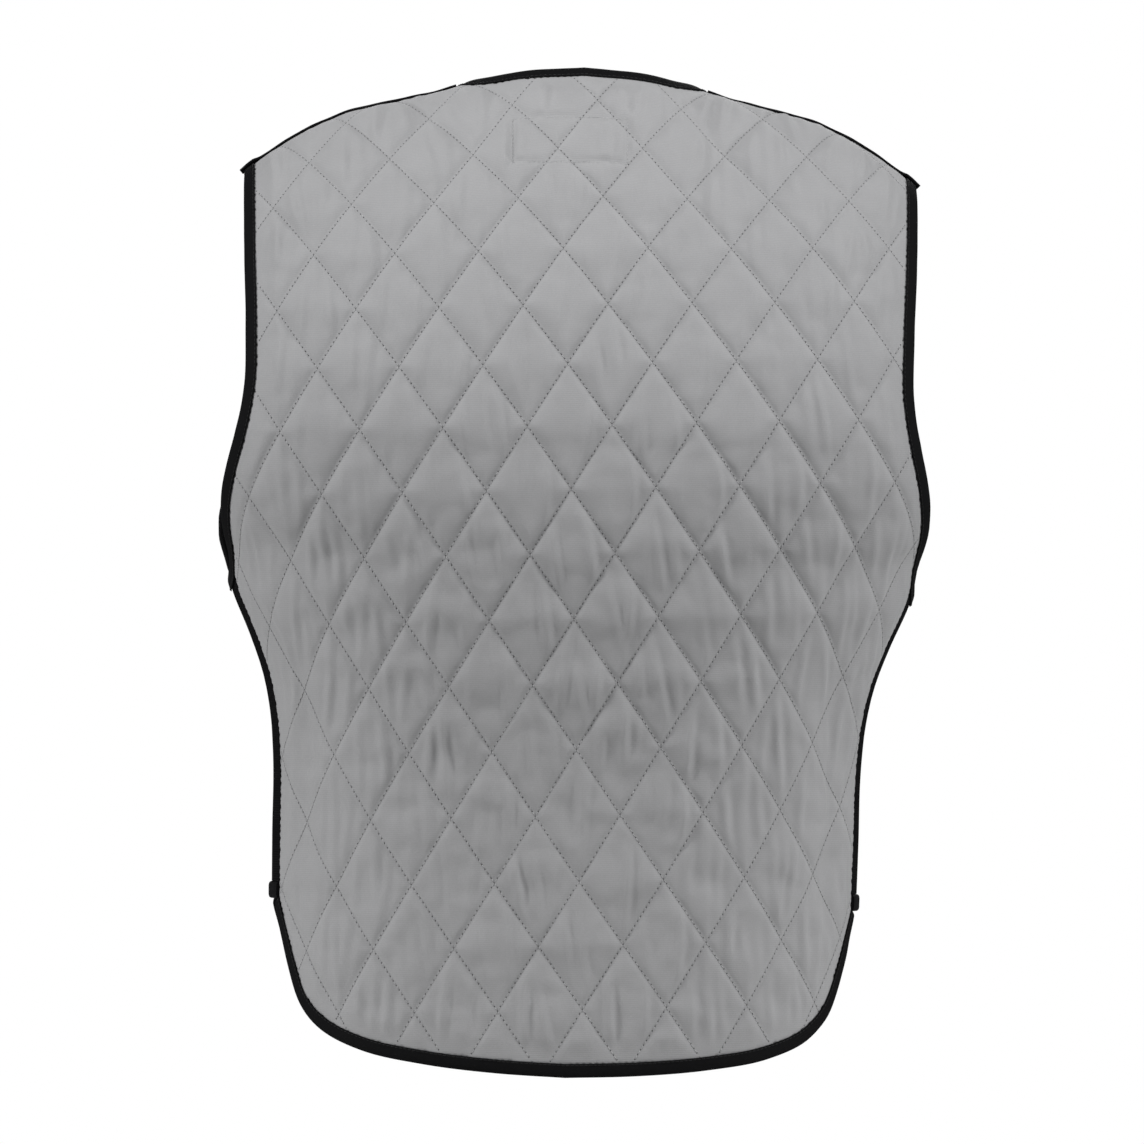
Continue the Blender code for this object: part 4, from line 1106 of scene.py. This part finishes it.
ON_CLOTH = LINE_WALL / 2 + 0.12 * MM            # height of a grain's middle on a stitched line
thread_pieces = []
for family, title, radius in ((0, "falling", THREAD), (1, "rising", 0.86 * THREAD)):
    ends = quilt_stitches(back_loop, GRAIN_TILT, QUILT_SHIFT, family)
    middle = (ends[0] + ends[-1]) / 2
    crease = crease_height(middle) * ramp(from_edge(middle, back_loop), 0, 12) * CREASE_AT_LINE
    thread_pieces.append(lay_stitches("back_stitches_" + title, ends, BACK, ON_CLOTH + crease, radius))
both = [quilt_stitches(front_loop, 0.0, 0.0, family) for family in (0, 1)]
ends = [np.concatenate(pair) for pair in zip(*both)]
for hand, title in HANDS:
    thread_pieces.append(lay_stitches("front_stitches_" + title, ends, FRONT, ON_CLOTH, THREAD, hand))

left, right, foot, top = LABEL
corners = np.array([(left, foot), (right, foot), (right, top), (left, top), (left, foot)])
starts, stops = [], []
for a, b in zip(corners[:-1], corners[1:]):
    at = np.linspace(0, 1, round(np.linalg.norm(b - a) / LABEL_STITCH) + 1)[:, None]
    starts.append(a + (b - a) * at[:-1])
    stops.append(a + (b - a) * at[1:])
ends = [np.concatenate(starts), np.concatenate(stops)]
to_line = line_distance((ends[0] + ends[1]) / 2, GRAIN_TILT, QUILT_SHIFT)
on_padding = LINE_WALL / 2 + LABEL_RISE * (1 - np.exp(-to_line / LABEL_SOFT))
thread_pieces.append(lay_stitches("label_stitches", ends, BACK, on_padding, 0.8 * THREAD))
print("stitches:", [len(p.data.vertices) // GRAIN_POINTS for p in thread_pieces])

# %% [markdown]
# ## Bound edges
#
# Every raw edge is closed by a woven tape folded over it and stitched through. A folded tape is a
# profile carried along the edge: its lips lie on both faces of the cloth, and its fold stands just
# outside. The edge's own direction and the cloth's outward direction turn the profile.

# %% Folded tape along an edge
def folded_profile():
    """Closed outline of the folded tape: distance past the cloth's edge and height, in a loop."""
    half = BINDING_WALL / 2 / MM
    upper = [(0.15, 0.0), (0.05, 1.25), (-1.5, 1.42), (-1.75, 1.62), (-1.4, half - 0.12), (0.6, half),
             (2.6, half + 0.05), (4.6, half - 0.05), (6.2, half - 0.45), (7.05, half - 1.15), (7.3, 0.0)]
    lower = [(d, -h) for d, h in upper[-2:0:-1]]
    return np.array(upper + lower) * MM


def flat_profile(width, wall, lift, crown=0.25):
    """Closed outline of a flat tape: a rectangle with rounded edges and a slightly crowned top."""
    t = np.linspace(0, 2 * math.pi, 18, endpoint=False)
    x = np.sign(np.cos(t)) * np.abs(np.cos(t)) ** 0.35
    y = np.sign(np.sin(t)) * np.abs(np.sin(t)) ** 0.6
    return np.stack([x * width / 2, lift + y * wall / 2 * (1 + crown * (1 - x ** 2))], axis=1)


def past_edge(path, normals, turn, closed):
    """Direction of a path, and the one past its edge: normal x tangent, turned to the open side."""
    ahead = np.roll(path, -1, axis=0) - np.roll(path, 1, axis=0) if closed else np.gradient(path, axis=0)
    tangent = unit(ahead)
    return tangent, unit(np.cross(normals, tangent) * turn)


WAVES = ((23, 0.4), (37, 2.1), (61, 4.0))        # length in mm and phase of the tape's slow waves


def tape_along(name, path, normals, turn, profile, closed, nodes, unrest=0.12):
    """Profile carried along a path. The tape swells and sinks a little by a sum of three slow waves."""
    tangent, past = past_edge(path, normals, turn, closed)
    normals = np.cross(tangent, past) * turn
    run = along_run(path)
    waves = sum(np.sin(run / (length * MM) * 2 * math.pi + phase) for length, phase in WAVES)
    swelling = 1 + unrest / 3 * waves
    sides = len(profile)
    rings = (path[:, None] + past[:, None] * profile[None, :, :1]
             + normals[:, None] * (profile[None, :, 1:] * swelling[:, None, None]))
    faces = grid_faces(len(path), sides, closed=True)
    if closed:
        last = (len(path) - 1) * sides
        faces += [[last + k, last + (k + 1) % sides, (k + 1) % sides, k] for k in range(sides)]
    else:
        faces += end_caps(len(path), sides)
    flats = np.stack([np.repeat(run, sides), np.tile(along_run(profile), len(path))], axis=1)
    return mesh_piece(name, rings.reshape(-1, 3), faces, nodes, {"cloth": flats}, smooth=60.0)


def edge_stitches(name, path, normals, turn, closed):
    """Row of black stitches along a folded tape, near its lip."""
    row = path + past_edge(path, normals, turn, closed)[1] * LIP_INSET + normals * LIP_HEIGHT
    run = along_run(row)
    at = np.linspace(0, run[-1], round(run[-1] / TAPE_STITCH) + 1)
    place = read_path(at, run, row)
    facing = read_path((at[:-1] + at[1:]) / 2, run, normals)
    return thread_grains(name, place[:-1], place[1:], facing, TAPE_THREAD)


tapes, tape_stitches = [], []
folded = folded_profile()
LIP_INSET = -0.7 * MM
LIP_HEIGHT = BINDING_WALL / 2 - 0.02 * MM
TAPE_STITCH = 3 * MM


def bind(name, path, normals, turn, closed=False):
    """Folded tape round an edge, with its row of stitches."""
    tapes.append(tape_along("bound_" + name, path, normals, turn, folded, closed, (name,)))
    tape_stitches.append(edge_stitches("stitches_" + name, path, normals, turn, closed))


def walk_on_form(*runs):
    """Positions and outward directions along runs of flat points, each with its side."""
    pieces = [cloth_point(edge[:, 0], edge[:, 1], side) for edge, side in runs]
    return [np.concatenate(rows) for rows in zip(*pieces)]


def side_grid(top_gap, bottom, rows, columns):
    """Cloth coordinates of the side piece, from the back seam to the front seam."""
    across = np.linspace(-SIDE_HALF + GAP / 2, SIDE_HALF - GAP / 2, columns)
    down = np.linspace(0.0, 1.0, rows)[:, None]
    top = -ARMHOLE_FOOT - SIDE_DIP * (1 - (across / across[-1]) ** 2) - top_gap
    ws = top + (bottom - top) * down
    us = side_length(BLADE_LEVEL + ws.ravel(), BACK).reshape(ws.shape) + across
    return us, ws


us, ws = side_grid(0.0, -SIDE_BOTTOM, 2, 17)
under_arm = np.stack([us[0], ws[0]], axis=1)[1:-1]
for hand, title in HANDS:
    flip = (hand, 1.0, 1.0)
    path, normals = walk_on_form((armhole_edge(BACK), BACK), (under_arm, BACK),
                                 (armhole_edge(FRONT)[::-1][:-1], FRONT))
    bind("armhole_binding_" + title, path * flip, normals * flip, hand, closed=True)
    path, normals = walk_on_form((hem_edge(FRONT, front_edge_u(), FRONT_TAIL), FRONT))
    bind("front_hem_binding_" + title, path * flip, normals * flip, -hand)
neck = walk_on_form((front_neck_edge()[::-1], FRONT), (back_neck_edge()[::-1][1:], BACK))
path, normals = (np.concatenate([part, part[-2::-1] * (-1, 1, 1)]) for part in neck)
bind("neck_binding", path, normals, -1)
half = hem_edge(BACK, 0.0, BACK_TAIL)
path, normals = walk_on_form((join_edges(half, mirrored(half)), BACK))
bind("back_hem_binding", path, normals, 1)
print("bound edges:", len(tapes))

# %% Tape over each shoulder seam
TAPE_END = 6.6 * MM          # past the tip of the shoulder, over the armhole's binding
TAPE_SLIP = 3.0 * MM         # how far it slips to the front near the neck
SLIP_REACH, SLIP_LENGTH = 55, 40                # it slips within 55 mm of the neck, over 40 mm
CLIMB_START, CLIMB_LENGTH = -7, 5               # its climb starts 7 mm before the tip, over 5 mm
CLIMB = BINDING_WALL / 2 + 0.25 * MM - LINE_WALL / 2


def eased(share):
    """Smooth step from 0 to 1: 3 share squared - 2 share cubed."""
    return share * share * (3 - 2 * share)


def shoulder_tape_run():
    """The seam from near the neck to past the tip, where the tape climbs over the armhole's binding.

    Near the neck it slips to the front by up to TAPE_SLIP, so that grey cloth shows over it from behind.
    """
    u = np.linspace(NECK_HALF + 2 * GAP, shoulder_tip_u(BACK) + TAPE_END, 64)
    path, normals = cloth_point(u, shoulder_seam_w(u, BACK), BACK)
    front_u = np.linspace(NECK_HALF, shoulder_tip_u(FRONT), 200)
    across = cloth_point(front_u, shoulder_seam_w(front_u, FRONT), FRONT)[0][:, 0]
    same_u = np.interp(path[:, 0], across, front_u)
    share = eased(ramp(NECK_HALF + SLIP_REACH * MM - u, 0, SLIP_LENGTH))
    slipped = shoulder_seam_w(same_u, FRONT) - TAPE_SLIP * share
    ahead, ahead_normals = cloth_point(same_u, slipped, FRONT)
    path = path + (ahead - path) * share[:, None]
    normals = normals + (ahead_normals - normals) * share[:, None]
    climb = eased(ramp(u - shoulder_tip_u(BACK), CLIMB_START, CLIMB_LENGTH))
    return path + normals * (climb * CLIMB)[:, None], normals


def flat_tapes(prefix, node, path, normals, profile):
    """A flat tape on the right and its mirror image on the left, each for its measured node."""
    for hand, title in HANDS:
        flip, name = (hand, 1.0, 1.0), node + title
        tapes.append(tape_along(prefix + name, path * flip, normals * flip, hand, profile, False, (name,)))


flat_tapes("bound_", "shoulder_binding_", *shoulder_tape_run(),
           flat_profile(SEAM_TAPE_WIDTH, SEAM_TAPE_WALL, LINE_WALL / 2 + 2 * GAP + SEAM_TAPE_WALL / 2))
grains = [len(piece.data.vertices) // GRAIN_POINTS for piece in tape_stitches]
print("tapes", len(tapes), "with", sum(grains), "stitches")

# %% [markdown]
# ## Stretch sides
#
# Under each arm a strip of ribbed black knit lets the vest give. Its ribs run up and down, so the grid
# is fine across and coarse along, and each rib is a wave in the surface. At its foot the knit is
# turned up into a flat black band.

# %% Ribbed knit and its band
RIB_PITCH = 2.6 * MM
RIB_DEPTH = 0.28 * MM
KNIT_ROWS, KNIT_COLUMNS = 70, 139               # points down and across, about six to a rib


def knit_piece(hand, title):
    """Ribbed strip: outer and inner grids of points, closed round their rim."""
    us, ws = side_grid(GAP, -SIDE_BOTTOM + SIDE_BAND_HEIGHT + GAP, KNIT_ROWS, KNIT_COLUMNS)
    rows, columns = us.shape
    across = (us - us[:, :1]).ravel()
    ribs = RIB_DEPTH * (np.cos(across / RIB_PITCH * 2 * math.pi) - 1)
    tuck = ramp(np.minimum(across, across.max() - across), 0, 1.5)
    lift = (KNIT_WALL / 2 + ribs) * (0.4 + 0.6 * tuck)
    outer = cloth_point(us.ravel(), ws.ravel(), BACK, lift)[0]
    inner = cloth_point(us.ravel(), ws.ravel(), BACK, -KNIT_WALL / 2)[0]
    total = rows * columns
    faces = grid_faces(rows, columns) + [face[::-1] for face in grid_faces(rows, columns, first=total)]
    at = np.arange(total).reshape(rows, columns)
    rim = np.concatenate([at[0], at[1:, -1], at[-1, -2::-1], at[-2:0:-1, 0]])
    following = np.roll(rim, -1)
    faces += np.stack([following, rim, rim + total, following + total], axis=1).tolist()
    points = np.concatenate([outer, inner]) * (hand, 1, 1)
    flats = np.stack([us.ravel(), ws.ravel()], axis=1)
    obj = mesh_piece("ribbed_side_panel_" + title, points, faces, ("side_panel_" + title,),
                     {"cloth": np.concatenate([flats, flats])}, smooth=70.0)
    return obj


knits = [knit_piece(hand, title) for hand, title in HANDS]
across = np.linspace(-SIDE_HALF + GAP / 2, SIDE_HALF - GAP / 2, 25)
w = np.full(len(across), -SIDE_BOTTOM + SIDE_BAND_HEIGHT / 2)
flat_tapes("turned_", "side_band_", *cloth_point(side_length(BLADE_LEVEL + w, BACK) + across, w, BACK),
           flat_profile(SIDE_BAND_HEIGHT, SIDE_BAND_WALL, 0.0, 0.1))
print("knit and bands:", [piece.name for piece in knits + tapes[-2:]])

# %% [markdown]
# ## Front zip
#
# A moulded zip is two woven tapes with a row of plastic teeth along each edge, drawn together by a
# slider. Each tooth is a small block with a rounded head. On a real zip the slider is a small metal
# body with a bridge that the pull hangs from. Here slider and pull are plates with rounded edges, made
# from one outline each, because the measured model has them as plates.

# %% Tapes, teeth, slider and pull
ZIP_FOOT = -FRONT_TAIL - BINDING_WIDTH
ZIP_HEAD = NECK_POINT - GAP
TOOTH_PITCH = 2.8 * MM
TOOTH_START = 2 * MM         # first tooth above the foot of the tapes
TOOTH_ROOM = 14 * MM         # length of tape without teeth, at both ends together
zip_levels = np.linspace(ZIP_FOOT, ZIP_HEAD, 120)
TOOTH = np.array([(2.5, 0.62), (0.6, 0.5), (-0.5, 0.72), (-1.1, 0.5),
                  (-1.1, -0.5), (-0.5, -0.72), (0.6, -0.5), (2.5, -0.62)]) * MM     # out and up
TOOTH_RINGS = ((-1.55, 0.8), (-1.2, 1.0), (1.2, 1.0), (1.55, 0.8))      # height in mm, size of the ring
TOOTH_PAST = 0.3 * MM        # the outline's origin lies this far out from the centre line
zip_tapes = []
for hand, title in HANDS:
    middle = np.full(len(zip_levels), hand * (CHAIN_HALF + GAP + ZIP_TAPE_WIDTH / 2))
    path, normals = cloth_point(middle, zip_levels, FRONT)
    zip_tapes.append(tape_along("woven_zip_tape_" + title, path, normals, hand,
                                flat_profile(ZIP_TAPE_WIDTH, ZIP_TAPE_WALL, 0.0, 0.05), False,
                                ("zip_tape_" + title,), unrest=0.02))


def zip_teeth():
    """Teeth from both sides by turns: each a block whose head is rounded, swept across the chain."""
    count = int((ZIP_HEAD - ZIP_FOOT - TOOTH_ROOM) / TOOTH_PITCH) * 2
    at = ZIP_FOOT + TOOTH_START + np.arange(count) * TOOTH_PITCH / 2
    hand = np.where(np.arange(count) % 2 == 0, 1.0, -1.0)
    sides = len(TOOTH)
    rings = []
    for height, shrink in TOOTH_RINGS:
        u = hand[:, None] * (TOOTH_PAST + TOOTH[:, 0] * shrink)
        w = at[:, None] + TOOTH[:, 1] * shrink
        rings.append(cloth_point(u.ravel(), w.ravel(), FRONT, height * MM)[0].reshape(count, sides, 3))
    points = np.stack(rings, axis=1).reshape(-1, 3)
    faces = repeated(grid_faces(4, sides, closed=True), count, 4 * sides)
    faces += repeated(end_caps(4, sides), count, 4 * sides)
    return mesh_piece("moulded_zip_teeth", points, faces, ("zip_chain",), smooth=35.0)


teeth = zip_teeth()
print("zip teeth:", len(teeth.data.vertices) // (len(TOOTH) * len(TOOTH_RINGS)))

# %% Slider and pull
PLATE_RINGS = ((-1, 0.9), (-0.7, 1), (0.7, 1), (1, 0.9))     # depth and size of the rings round a plate


def upright(outline, y):
    """Points of a flat outline stood up across the line of sight, at a depth y."""
    return np.stack([outline[:, 0], np.full(len(outline), y), outline[:, 1]], axis=1)


def pressed_plate(node, outline, hole=None):
    """Flat metal plate in the middle of a measured node: an outline with rounded edges, and its hole."""
    middle = np.mean(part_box(node), axis=0)
    half = SLIDER_WALL / 2
    rings = [upright(outline * shrink, deep * half) for deep, shrink in PLATE_RINGS]
    points = np.concatenate(rings) + middle
    faces = grid_faces(4, len(outline), closed=True) + end_caps(4, len(outline))
    piece = mesh_piece("pressed_" + node, points, faces, (node,), smooth=35.0)
    if hole is not None:
        ends = np.concatenate([upright(hole, -4 * half), upright(hole, 4 * half)]) + middle
        cutter = new_mesh("cut", ends, grid_faces(2, len(hole), closed=True) + end_caps(2, len(hole)))
        turn_out(cutter)
        tool = in_scene("cut", cutter)
        cut = piece.modifiers.new("hole", "BOOLEAN")
        cut.object = tool
        cut.operation = "DIFFERENCE"
        finished = evaluated(piece)
        piece.modifiers.clear()
        piece.data = finished
        bpy.data.objects.remove(tool)
    return piece


def rounded_outline(width, height, corner, taper=1.0, count=6):
    """Rectangle with round corners, its lower side narrowed by the taper, walked anticlockwise."""
    quarter = np.linspace(0, math.pi / 2, count)
    arcs = []
    for sx, sz, turn in ((1, -1, -math.pi / 2), (1, 1, 0), (-1, 1, math.pi / 2), (-1, -1, math.pi)):
        arcs.append(np.stack([sx * (width / 2 - corner) + corner * np.cos(quarter + turn),
                              sz * (height / 2 - corner) + corner * np.sin(quarter + turn)], axis=1))
    outline = np.concatenate(arcs)
    outline[:, 0] *= taper + (1 - taper) * (0.5 + outline[:, 1] / height)
    return outline


slider = pressed_plate("zip_slider", rounded_outline(SLIDER_WIDTH, SLIDER_LENGTH, 2.6 * MM, 0.72))
pull_hole = rounded_outline(2.8 * MM, 9 * MM, 1.3 * MM) + (0, -6 * MM)
pull = pressed_plate("zip_pull", rounded_outline(PULL_WIDTH, PULL_LENGTH, 2.2 * MM, 0.8), pull_hole)
print("slider and pull:", len(slider.data.polygons), "and", len(pull.data.polygons), "faces")

# %% [markdown]
# ## Finishes
#
# The outer cloth is a plain-woven nylon with a faint rib across it, dull and slightly hairy. Its
# stitched lines show needle holes, and the shade in them is painted as dark spots, which the material
# counts from the quilting map. The tape is a narrow black twill, the sides are a black rib knit, the
# teeth are moulded acetal and the slider is die-cast zinc with a grey plated finish.

# %% Helpers for patterns in a material
def maths(tree, operation, *values):
    """Output of a maths node; each value is another node's output or a number."""
    return add(tree, "ShaderNodeMath", dict(enumerate(values)), operation=operation).outputs[0]


def noise(tree, scale, detail=2.0):
    """Cloudy noise over a piece, from 0 to 1, finer with a larger scale."""
    position = add(tree, "ShaderNodeTexCoord").outputs["Object"]
    links = {"Vector": position, "Scale": scale, "Detail": detail}
    return add(tree, "ShaderNodeTexNoise", links).outputs["Fac"]


def map_parts(tree, title):
    """The two numbers of one of a piece's UV maps."""
    uv = add(tree, "ShaderNodeUVMap", uv_map=title).outputs["UV"]
    return add(tree, "ShaderNodeSeparateXYZ", {0: uv}).outputs


def wave(tree, coordinate, pitch):
    """Sine of a length over a pitch, from 0 to 1: 0.5 + 0.5 sin(2 pi x / pitch)."""
    sine = maths(tree, "SINE", maths(tree, "MULTIPLY", coordinate, 2 * math.pi / pitch))
    return maths(tree, "MULTIPLY_ADD", sine, 0.5, 0.5)


def mixed(tree, share, first, second):
    """Colour from a first to a second, given as hex or as a node's output."""
    first, second = (linear(c) if isinstance(c, str) else c for c in (first, second))
    return add(tree, "ShaderNodeMixRGB", {0: share, 1: first, 2: second}).outputs[0]


def ramped(tree, value, start, end, low, high, **settings):
    """A value's way from start to end, spread from low to high."""
    links = {"Value": value, "From Min": start, "From Max": end, "To Min": low, "To Max": high}
    return add(tree, "ShaderNodeMapRange", links, **settings).outputs[0]


def surface(tree, shader, colour, height=None, distance=0.0, strength=0.0):
    """Give a shader its colour, and bumps up to a distance in metres."""
    tree.links.new(colour, shader.inputs["Base Color"])
    if height is not None:
        links = {"Height": height, "Distance": distance, "Strength": strength}
        tree.links.new(add(tree, "ShaderNodeBump", links).outputs[0], shader.inputs["Normal"])


# %% Woven grey nylon, with painted shade in its needle holes
RIB = 1.3 * MM               # the real rib is about half of this, too fine to show
# The last colour is painted shade, for the needle holes.
CLOTH_DARK, CLOTH_LIGHT, HOLE_PAINTED_SHADE = "#8B8B8C", "#949495", "#3A3A3B"
HOLE_CORE = 0.15 * MM        # full depth of a needle hole within this distance
LINE_REACH, HOLE_REACH = 0.62 * MM, 0.70 * MM     # its end across and along the stitched line


def near_whole(tree, count, spacing, reach):
    """1 where a count is near a whole number: its distance to it in metres, ramped down to the reach."""
    part = maths(tree, "FRACT", maths(tree, "ADD", count, 0.5))
    off = maths(tree, "MULTIPLY", maths(tree, "ABSOLUTE", maths(tree, "SUBTRACT", part, 0.5)), spacing)
    return ramped(tree, off, reach, HOLE_CORE, 0.0, 1.0, interpolation_type="SMOOTHSTEP")


def grey_nylon():
    """Plain-woven nylon: cloudy tone, faint ribs across it, and the painted shade of a needle hole between
    every two stitches.
    """
    material, tree, shader = new_material("woven_grey_nylon", 0.82, Sheen_Weight=0.12, Sheen_Roughness=0.5,
                                          Specular_IOR_Level=0.35)
    quilting = map_parts(tree, "quilting")
    line_gap = 1 / np.linalg.norm(quilt_axes(0.0)[0])
    side = math.hypot(DIAMOND_WIDTH, DIAMOND_HEIGHT) / 2
    holes = []
    for line, run in ((0, 1), (1, 0)):
        steps = maths(tree, "MULTIPLY", quilting[run], STITCHES)
        holes.append(maths(tree, "MULTIPLY", near_whole(tree, quilting[line], line_gap, LINE_REACH),
                           near_whole(tree, steps, side / STITCHES, HOLE_REACH)))
    hole = maths(tree, "MAXIMUM", *holes)
    tone = mixed(tree, noise(tree, 38.0, 3.0), CLOTH_DARK, CLOTH_LIGHT)
    ribs = wave(tree, map_parts(tree, "cloth")[1], RIB)
    grain = maths(tree, "MULTIPLY_ADD", ribs, 0.45, noise(tree, 1100.0))
    shade = ramped(tree, grain, 0.3, 1.15, 0.93, 1.05)
    woven = add(tree, "ShaderNodeVectorMath", {0: tone, 1: shade}, operation="MULTIPLY").outputs[0]
    deeper = maths(tree, "MULTIPLY_ADD", hole, -5.0, grain)
    # Painted shade: the needle holes are mixed towards a dark grey, and the bump sinks them as well.
    surface(tree, shader, mixed(tree, hole, woven, HOLE_PAINTED_SHADE), deeper, 0.10 * MM, 0.8)
    return material


grey = grey_nylon()
print("needle holes every", round(math.hypot(DIAMOND_WIDTH, DIAMOND_HEIGHT) / 2 / STITCHES / MM, 2), "mm")

# %% Thread, tapes, knit, plastic and metal: two tones and bumps from one pattern
def two_tone(name, roughness, dark, light, pattern, distance=0.0, strength=0.0, **sockets):
    """Material whose colour runs from dark to light by a pattern, which also raises its surface when a
    strength is given.
    """
    material, tree, shader = new_material(name, roughness, **sockets)
    height = pattern(tree)
    surface(tree, shader, mixed(tree, height, dark, light), height if strength else None, distance, strength)
    return material


def twill(pitch):
    """Pattern of a twill tape: slanting ridges, the sine of run plus width, with fluff over them."""
    def pattern(tree):
        place = map_parts(tree, "cloth")
        ridges = wave(tree, maths(tree, "ADD", place[0], place[1]), pitch)
        return maths(tree, "MULTIPLY", ridges, noise(tree, 700.0, 3.0))
    return pattern


def rib_knit(tree):
    """Pattern of a rib knit: loops along each rib, the sine down the piece times the sine across it."""
    place = map_parts(tree, "cloth")
    return maths(tree, "MULTIPLY", wave(tree, place[1], 1.6 * MM), wave(tree, place[0], RIB_PITCH / 2))


def cloudy(scale, detail=2.0):
    """Pattern of plain noise: the twist of a thread, the flow marks of a moulding, rubbing on metal."""
    return lambda tree: noise(tree, scale, detail)


DULL = dict(Sheen_Weight=0.0, Specular_IOR_Level=0.06)       # soft yarn, without gloss

# Spun polyester sewing thread, lighter than the cloth, and the black thread of the tapes.
thread = two_tone("spun_polyester_thread", 0.55, "#88898A", "#9E9E9F", cloudy(900.0), Sheen_Weight=0.2)
black_thread = two_tone("black_sewing_thread", 0.6, "#0B0B0C", "#1B1B1C", cloudy(900.0),
                        Specular_IOR_Level=0.2)
# Narrow woven tapes with slanting ridges, in a soft black.
binding_twill = two_tone("black_twill_tape", 0.75, "#080809", "#161617", twill(1.4 * MM), 0.2 * MM, 0.7,
                         **DULL)
zip_twill = two_tone("black_zip_tape", 0.7, "#0A0A0B", "#18181A", twill(1.1 * MM), 0.15 * MM, 0.7,
                     **DULL)
# Rib knit with an elastic yarn.
knit_finish = two_tone("black_rib_knit", 0.85, "#070708", "#151516", rib_knit, 0.25 * MM, 0.8, **DULL)
# Acetal plastic from a polished mould: nearly smooth, low gloss, a trace of flow marks.
acetal = two_tone("moulded_black_acetal", 0.38, "#141415", "#1F1F20", cloudy(420.0), IOR=1.48)
# Die-cast zinc, tumbled and plated grey: soft highlights, with fine rubbing marks.
zinc = two_tone("plated_zinc", 0.34, "#86878A", "#A3A4A7", cloudy(600.0, 4.0), 0.02 * MM, 0.5,
                Metallic=1.0)

# %% Dress every piece
for pieces, finish in (((quilted_back, quilted_right, quilted_left), grey), (thread_pieces, thread),
                       (tapes, binding_twill), (tape_stitches, black_thread), (knits, knit_finish),
                       (zip_tapes, zip_twill), ((teeth,), acetal), ((slider, pull), zinc)):
    for piece in pieces:
        piece.data.materials.clear()
        piece.data.materials.append(finish)
    print(finish.name, "on", len(pieces), "pieces")
